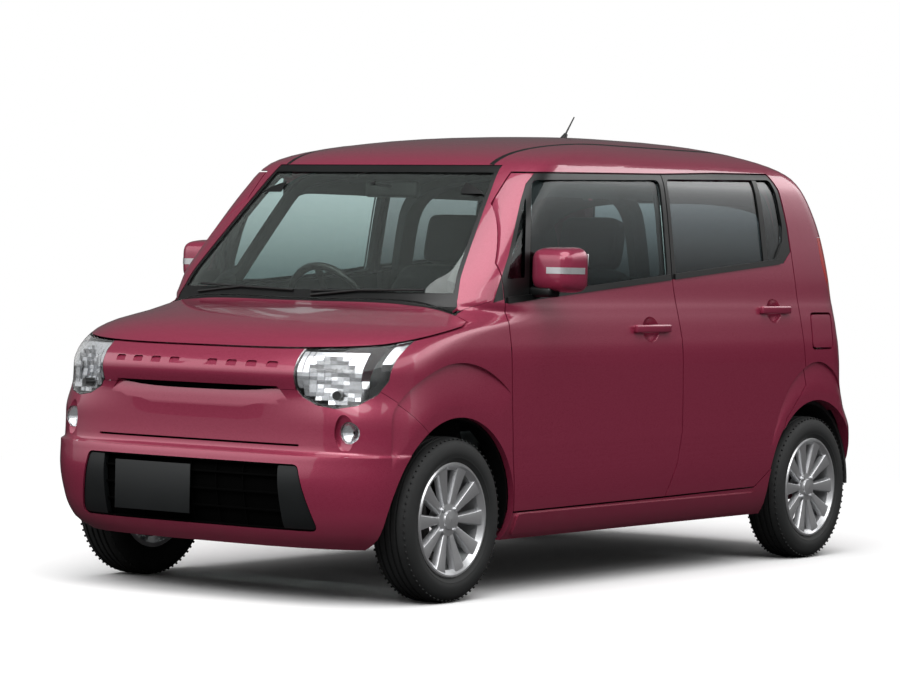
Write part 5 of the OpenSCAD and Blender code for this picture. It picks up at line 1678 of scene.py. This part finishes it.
@dataclass
class Glasshouse:
    """Windscreen with its border, cowl, wipers and antenna."""

    shop: Workshop
    border: float = 15.0

    def build(self) -> None:
        """Builds and fits each piece."""
        form = self.shop.form
        screen = form.shell("windscreen", 3, 8, [screen_tools()], roof_tools(0.3))
        self.shop.fit(screen, "body", Coat.CLEAR, "windscreen")
        ring = screen_tools(-0.6)
        inner = boolean(front_prism(SCREEN_EDGE, -100, 1000, -self.border, 60),
                        above([(-900, 1034), (60, 1034), (3100, 1034)]), Cut.KEEP)
        boolean(inner, box_tool(WHOLE, (-900, 3000), (0, 1456)), Cut.KEEP)
        boolean(ring, inner, Cut.TAKE)
        edge = form.shell("screen_border", 1.4, 2.8, [ring], roof_tools(0.3))
        self.shop.fit(edge, "body", Coat.BLACK)
        cowl = form.shell("cowl_panel", 4, 4 + SKIN, [cowl_tools()])
        for side in Side:
            boolean(cowl, neck_slot(side), Cut.TAKE)
        self.shop.fit(cowl, "body", Coat.BLACK, "cowl_panel")
        self.wipers()
        mast = rod("mast", place(0, 1690, 1624), place(0, 1762, 1709), 4, 2.5, 16)
        foot = rod("foot", place(0, 1686, 1618), place(0, 1706, 1640), 14, 8, 24)
        self.shop.fit(join("antenna", [mast, foot]), "body", Coat.BLACK, "antenna", angle=None)

    def wipers(self) -> None:
        """Two wipers lying along the lower edge of the screen."""
        form = self.shop.form

        def near(x: float, z: float, off: float) -> Vector:
            """Place off the outer surface of the screen."""
            return place(x, form.nose_at(x, z) - off, z)

        pieces = []
        for start, end in ((-500.0, -50.0), (30.0, 490.0)):
            spots = np.linspace(start, end, 7)
            lift = [1030 + 14 * abs(x) / 500 for x in spots]
            pieces += [rod("blade", near(a, za, 7), near(b, zb, 7), 4.5)
                       for a, b, za, zb in zip(spots, spots[1:], lift, lift[1:])]
            pieces.append(rod("arm", near(start + 12, 1016, 6), near((start + end) / 2, 1040, 8), 5.5, 4))
        self.shop.fit(join("front_wipers", pieces), "body", Coat.BLACK, "front_wipers", angle=None)


@dataclass
class Wheels:
    """Tyres with grooves and shoulder blocks, and ten-spoke rims."""

    shop: Workshop
    spokes: int = 10
    blocks: int = 72

    def build(self) -> None:
        """Builds one wheel and copies it to the four hubs."""
        tyre, rim = self.tyre(), self.rim()
        for end, y in (("front", 0.0), ("rear", WHEELBASE)):
            for side in Side:
                turn = Matrix.Translation(place(side.value * TRACK_HALF, y, HUB_Z)) @ TURN_TO_SIDE[side]
                for model, kind, coat in ((tyre, "tyre", Coat.TYRE), (rim, "rim", Coat.ALLOY)):
                    name = f"{kind}_{end}_{side.word}"
                    piece = copy_piece(model, name)
                    piece.data.transform(turn)
                    self.shop.fit(piece, f"wheel_{end}_{side.word}", coat, name)
        remove(tyre, rim)

    def tyre(self) -> Piece:
        """Tyre spun from its profile, with four grooves and shoulder blocks."""
        profile = [(182, -57), (203, -70), (230, -77), (252, -75), (266, -67), (274, -56)]
        for groove in (-36, -12, 12, 36):
            profile += [(278, groove - 4.5), (271, groove - 3), (271, groove + 3), (278, groove + 4.5)]
        profile += [(274, 56), (266, 67), (252, 75), (230, 77), (216, 76), (213, 74.5), (210, 74.5),
                    (203, 70), (182, 57)]
        carcass = lathe("tyre", profile, Vector((0, 0, 0)), Matrix.Identity(4), 128)
        blocks = []
        model = rounded_box("block", Vector((0, 0, 0)), (5, 7.5, 17), 1.0, 1)
        for k in range(self.blocks):
            angle = 2 * math.pi * k / self.blocks
            for side in (-1, 1):
                block = copy_piece(model, "block")
                block.data.transform(Matrix.Rotation(angle, 4, "Z")
                                     @ Matrix.Translation((0.2678, 0, side * 0.0606))
                                     @ Matrix.Rotation(side * math.radians(38), 4, "Y"))
                blocks.append(block)
        remove(model)
        return join("tyre", [carcass, *blocks])

    def rim(self) -> Piece:
        """Rim barrel, dished spokes that widen outwards, cap and nuts."""
        barrel = lathe("rim", [(165, -57), (180, -57), (180, 58), (194, 66), (190, 71), (184, 71), (176, 62),
                               (168, 54)],
                       Vector((0, 0, 0)), Matrix.Identity(4), 128)
        hub = lathe("hub", [(15, -9), (34, -9), (38, 30), (56, 44), (54, 52), (32, 54), (30, 60), (2, 63),
                            (2, 30), (15, 30)],
                    Vector((0, 0, 0)), Matrix.Identity(4), 64)
        pieces = [barrel, hub]
        for k in range(self.spokes):
            spoke = self.spoke()
            spoke.data.transform(Matrix.Rotation(2 * math.pi * (k + 0.5) / self.spokes, 4, "Z"))
            pieces.append(spoke)
        for k in range(4):
            angle = math.pi / 4 + math.pi / 2 * k
            spot = Vector((0.050 * math.cos(angle), 0.050 * math.sin(angle), 0))
            pieces.append(rod("nut", spot + Vector((0, 0, 0.044)), spot + Vector((0, 0, 0.060)), 9, 7, 6))
        return join("rim", pieces)

    @staticmethod
    def spoke() -> Piece:
        """One flat-faced spoke along X that widens to the rim, its flanks drawn out behind the face."""
        table = ((34, 9, 50), (70, 12, 53), (110, 16.5, 57), (150, 21.5, 61), (186, 27, 65))
        points: list[Vector] = []
        for radius, half, face in table:
            for side, sink, more in ((-1, 0, 0), (1, 0, 0), (1, 24, 5), (-1, 24, 5)):
                points.append(Vector((radius, side * (half + more), face - sink)) * MM)
        faces = [[0, 1, 2, 3], [19, 18, 17, 16]]
        for k in range(len(table) - 1):
            faces += [[4 * k + i, 4 * k + 4 + i, 4 * k + 4 + (i + 1) % 4, 4 * k + (i + 1) % 4]
                      for i in range(4)]
        piece = recalculate(mesh_piece("spoke", points, faces))
        activate(piece)
        bevel = piece.modifiers.new("edges", "BEVEL")
        bevel.width, bevel.segments = 0.0022, 3
        bevel.limit_method, bevel.angle_limit = "ANGLE", math.radians(40)
        return apply_modifiers(piece)


@dataclass
class Cabin:
    """Dashboard, steering wheel, interior mirror and padded seats."""

    shop: Workshop
    seam_depth: float = 0.10

    def build(self) -> None:
        """Builds and fits each piece of the cabin."""
        self.dashboard()
        self.steering_wheel()
        self.mirror()
        for side in Side:
            x = side.value * 310.0
            parts = [self.cushion((x, 960, 440), (466, 516, 146), -6, 4),
                     self.cushion((x, 1286, 780), (466, 126, 700), -18, 4),
                     self.cushion((x, 1428, 1218), (250, 88, 190), -14, 1)]
            base = rounded_box("base", place(x, 960, 316), (360, 440, 138), 12, 3)
            seat = join(f"front_seat_{side.word}", parts)
            self.shop.fit(seat, "body", Coat.CLOTH, f"front_seat_{side.word}", angle=60.0)
            base.name = f"seat_base_{side.word}"
            self.shop.fit(base, "body", Coat.BLACK, angle=None)
        rear = join("rear_seat", [self.cushion((0, 1900, 500), (956, 476, 136), -5, 6),
                                  self.cushion((0, 2180, 760), (956, 116, 556), -20, 6)])
        self.shop.fit(rear, "body", Coat.CLOTH, "rear_seat", angle=60.0)
        base = rounded_box("rear_seat_base", place(0, 2010, 440), (940, 126, 86), 10, 3)
        self.shop.fit(base, "body", Coat.BLACK, angle=None)

    def cushion(self, centre: Point3, size: Point3, tilt: float, channels: int) -> Piece:
        """Crowned cushion with sewn channels.

        Args:
            centre: Its middle, in millimetres from the front axle.
            size: Its size, in millimetres.
            tilt: Lean about the car's width, in degrees.
            channels: Number of sewn panels across it.

        Returns:
            The cushion.
        """
        upright = size[1] < size[2]

        def shape(x: float, y: float, z: float) -> Point3:
            """Place of a spot of the cushion, drawn in along its seams."""
            flat = abs(y if upright else z) ** 3
            seam = abs(math.sin((x + 1) / 2 * math.pi * channels)) ** 0.5 if channels > 1 else 1.0
            shrink = 1.0 - self.seam_depth * flat * (1 - seam)
            y, z = (y * shrink, z) if upright else (y, z * shrink)
            return x * size[0] / 2 * MM, y * size[1] / 2 * MM, z * size[2] / 2 * MM

        piece = puffed_cube(23, 7.0, shape)
        piece.data.transform(Matrix.Translation(place(*centre)) @ Matrix.Rotation(math.radians(tilt), 4, "X"))
        return piece

    def dashboard(self) -> None:
        """Moulded dashboard with a hood over the instruments and air vents."""
        line = [(217, 560), (187, 914), (240, 975), (330, 985), (480, 950), (520, 880), (500, 760),
                (430, 700), (380, 560)]
        body = prism(fillet(line, 26), Axis.SIDE, -556, 556)
        hood = rounded_box("hood_over_dials", place(-310, 440, 985), (330, 150, 70), 26, 4)
        vents = [rounded_box("vent", place(x, 516, 872), (110, 18, 52), 8, 3) for x in (-480, -60, 60, 480)]
        self.shop.fit(join("dashboard", [body, hood, *vents]), "body", Coat.GREY, "dashboard")

    def steering_wheel(self) -> None:
        """Three-spoke wheel with its boss and column."""
        turn = Matrix.Translation(place(-310, 640, 960)) @ Matrix.Rotation(math.radians(-62), 4, "X")
        deselect()
        bpy.ops.mesh.primitive_torus_add(major_radius=0.171, minor_radius=0.0135, major_segments=72,
                                         minor_segments=18)
        ring = bpy.context.object
        boss = lathe("boss", [(1, -20), (62, -20), (62, 4), (52, 14), (1, 16)], Vector((0, 0, 0)),
                     Matrix.Identity(4), 48)
        column = rod("column", Vector((0, 0, -0.190)), Vector((0, 0, -0.018)), 18)
        spokes = []
        for angle in (0, 180, 270):
            spoke = rounded_box("spoke", Vector((0.108, 0, -0.002)), (112, 30, 12), 4, 3)
            spoke.data.transform(Matrix.Rotation(math.radians(angle), 4, "Z"))
            spokes.append(spoke)
        piece = join("steering_wheel", [ring, boss, column, *spokes])
        piece.data.transform(turn)
        self.shop.fit(piece, "steering_wheel", Coat.BLACK, "steering_wheel", angle=40.0)

    def mirror(self) -> None:
        """Interior mirror on its stalk."""
        head = rounded_box("head", place(0, 590, 1395), (236, 32, 62), 14, 4)
        stalk = rod("stalk", place(0, 586, 1404), place(0, 470, 1412), 8)
        self.shop.fit(join("interior_mirror", [head, stalk]), "body", Coat.BLACK, "interior_mirror",
                      angle=None)


@dataclass
class Underbody:
    """Finishes of the frame's own pieces that stay as they are."""

    shop: Workshop

    def build(self, frame: dict) -> None:
        """Gives each remaining node the finish of its slot."""
        slots = {row["node"]: row["material_slot"] for row in frame["record"]["subparts"]}
        for node in ("floor_pan", "hinges", "engine_block", "front_suspension", "rear_axle", "exhaust",
                     "knuckle_left", "knuckle_right"):
            piece = frame["nodes"][node]
            coat = self.shop.coats[Coat(slots[node])]
            if piece.material_slots:
                for holder in piece.material_slots:
                    holder.material = coat
            else:
                piece.data.materials.append(coat)


def show_in_gloss_only(card: Piece) -> None:
    """Hides a card from all but glossy rays."""
    card.visible_camera = card.visible_diffuse = card.visible_shadow = card.visible_transmission = False


@dataclass
class Studio:
    """Camera, floor, lights and a dark card that the lower body reflects."""

    azimuth: float = 35.557
    elevation: float = 1.503
    roll: float = 1.241
    distance: float = 12.142
    target: Point3 = (45.0, 900.0, 860.0)
    focal: float = 132.0
    ambient: float = 0.30
    sun: float = 3.1
    gloss: float = 0.11
    white_from: float = 2.3
    white_to: float = 6.0

    def camera(self) -> None:
        """Sets the camera at the photograph's angle."""
        az, el, roll = (math.radians(a) for a in (self.azimuth, self.elevation, self.roll))
        back = Vector((math.sin(az) * math.cos(el), -math.cos(az) * math.cos(el), math.sin(el)))
        right = (-back).cross(Vector((0, 0, 1))).normalized()
        up = right.cross(-back)
        across = math.cos(roll) * right + math.sin(roll) * up
        over = -math.sin(roll) * right + math.cos(roll) * up
        data = bpy.data.cameras.new("photo_camera")
        data.lens = self.focal
        data.sensor_width = 36.0
        data.clip_end = 200.0
        camera = bpy.data.objects.new("photo_camera", data)
        turn = Matrix((across, over, back)).transposed().to_4x4()
        camera.matrix_world = Matrix.Translation(place(*self.target) + back * self.distance) @ turn
        bpy.context.scene.collection.objects.link(camera)
        bpy.context.scene.camera = camera

    def build(self) -> None:
        """Adds the floor, the lights and the world."""
        scene = bpy.context.scene
        scene.view_settings.view_transform = "Standard"
        deselect()
        bpy.ops.mesh.primitive_plane_add(size=160.0, location=(0, 0, 0))
        floor = bpy.context.object
        floor.name = "studio_floor"
        floor.data.materials.append(self.floor_finish())
        bpy.ops.mesh.primitive_plane_add(size=158.0, location=(0, 0, 0.002))
        card = bpy.context.object
        settle(card)
        card.name = "dark_card"
        card.data.materials.append(self.plain("dark_card", (0.020, 0.018, 0.019), 1.0))
        show_in_gloss_only(card)
        cards = [self.light_card(*row) for row in (
            ("side_card", (5.6, 6.2, 3.6), (11.0, 6.4), 2.6, 1.2, 4.2),
            ("front_card", (-4.2, -5.6, 2.8), (9.0, 5.4), 1.5, -1.5, 2.5))]
        self.lamps()
        self.world()

    def floor_finish(self) -> bpy.types.Material:
        """Pale matt floor that fades to plain white, for the camera alone, away from the car."""
        material = self.plain("pale_floor", (0.95, 0.95, 0.95), 0.9)
        sheet = NodeSheet(material.node_tree)
        shader = material.node_tree.nodes["Principled BSDF"]
        spot = sheet.object_spot()
        far = sheet.add("ShaderNodeVectorMath")
        far.operation = "LENGTH"
        sheet.feed(far, 0, spot)
        share = sheet.span(far.outputs["Value"], self.white_from, self.white_to, 0.0, 1.0)
        seen = sheet.add("ShaderNodeLightPath").outputs["Is Camera Ray"]
        sheet.feed(shader, "Base Color", sheet.blend(seen, (0.22, 0.22, 0.22, 1.0), (0.95, 0.95, 0.95, 1.0)))
        share = sheet.math("MULTIPLY", share, seen)
        white = sheet.add("ShaderNodeEmission", Color=(1.0, 1.0, 1.0, 1.0), Strength=1.0)
        mix = sheet.add("ShaderNodeMixShader")
        sheet.feed(mix, 0, share)
        sheet.feed(mix, 1, shader.outputs[0])
        sheet.feed(mix, 2, white.outputs[0])
        sheet.feed(material.node_tree.nodes["Material Output"], "Surface", mix.outputs[0])
        return material

    @staticmethod
    def light_card(name: str, spot: Point3, size: Point2, strength: float, low: float,
                   high: float) -> Piece:
        """Bright card that only gloss shows, turned to the car, fading out from a height to a lower one."""
        deselect()
        bpy.ops.mesh.primitive_plane_add(size=1.0)
        card = bpy.context.object
        card.name = name
        turn = (Vector((0, 0, 0.8)) - Vector(spot)).to_track_quat("Z", "Y").to_matrix().to_4x4()
        card.data.transform(Matrix.Translation(spot) @ turn @ Matrix.Diagonal((size[0], size[1], 1, 1)))
        material = bpy.data.materials.new(name)
        material.use_nodes = True
        sheet = NodeSheet(material.node_tree)
        fade = sheet.math("POWER", sheet.span(sheet.height(), low, high, 0.0, 1.0), 2.0)
        glow = sheet.add("ShaderNodeEmission", Color=(1.0, 1.0, 1.0, 1.0),
                         Strength=sheet.math("MULTIPLY", fade, strength))
        sheet.feed(material.node_tree.nodes["Material Output"], "Surface", glow.outputs[0])
        card.data.materials.append(material)
        show_in_gloss_only(card)
        return card

    @staticmethod
    def plain(name: str, colour: Point3, rough: float) -> bpy.types.Material:
        """Plain matt material of the stage."""
        material = bpy.data.materials.new(name)
        material.use_nodes = True
        shader = material.node_tree.nodes["Principled BSDF"]
        shader.inputs["Base Color"].default_value = (*colour, 1.0)
        shader.inputs["Roughness"].default_value = rough
        shader.inputs["Specular IOR Level"].default_value = 0.0
        return material

    def lamps(self) -> None:
        """One broad soft sun from above and two large soft boxes."""
        sun = bpy.data.lights.new("broad_sun", "SUN")
        sun.energy = self.sun
        sun.angle = math.radians(70)
        lamp = bpy.data.objects.new("broad_sun", sun)
        lamp.rotation_euler = (math.radians(24), math.radians(14), 0)
        bpy.context.scene.collection.objects.link(lamp)
        for name, spot, power in (("side_box", (6.0, -1.0, 4.2), 60.0),
                                  ("front_box", (1.0, -7.0, 4.0), 100.0)):
            data = bpy.data.lights.new(name, "AREA")
            data.shape = "RECTANGLE"
            data.size, data.size_y = 5.0, 2.2
            data.energy = power
            box = bpy.data.objects.new(name, data)
            box.location = spot
            box.rotation_euler = (Vector((0, 0, 0.7)) - Vector(spot)).to_track_quat("-Z", "Y").to_euler()
            bpy.context.scene.collection.objects.link(box)

    def world(self) -> None:
        """White to the camera and through glass, dim to gloss, and a plain soft light otherwise."""
        world = bpy.data.worlds.new("studio")
        bpy.context.scene.world = world
        world.use_nodes = True
        sheet = NodeSheet(world.node_tree)
        back = world.node_tree.nodes["Background"]
        path = sheet.add("ShaderNodeLightPath")
        seen = sheet.math("MAXIMUM", path.outputs["Is Camera Ray"], path.outputs["Is Transmission Ray"])
        base = sheet.span(path.outputs["Is Glossy Ray"], 0.0, 1.0, self.ambient, self.gloss)
        sheet.feed(back, "Color", (1.0, 1.0, 1.0, 1.0))
        sheet.feed(back, "Strength", sheet.span(seen, 0.0, 1.0, base, 1.0))


def main() -> None:
    """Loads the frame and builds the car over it."""
    logging.basicConfig(level=logging.INFO, format="%(name)s %(message)s")
    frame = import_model()
    studio = Studio()
    studio.camera()
    effects = Effects()
    shop = Workshop(BodyForm(),
                    {coat: finish.build(coat.value, effects) for coat, finish in FINISHES.items()})
    for assembly in (BodyShell(shop), Doors(shop), FrontEnd(shop), RearEnd(shop), Glasshouse(shop),
                     Wheels(shop), Cabin(shop)):
        assembly.build()
    shop.form.clear()
    Underbody(shop).build(frame)
    studio.build()
    deselect()


if __name__ == "__main__":
    main()
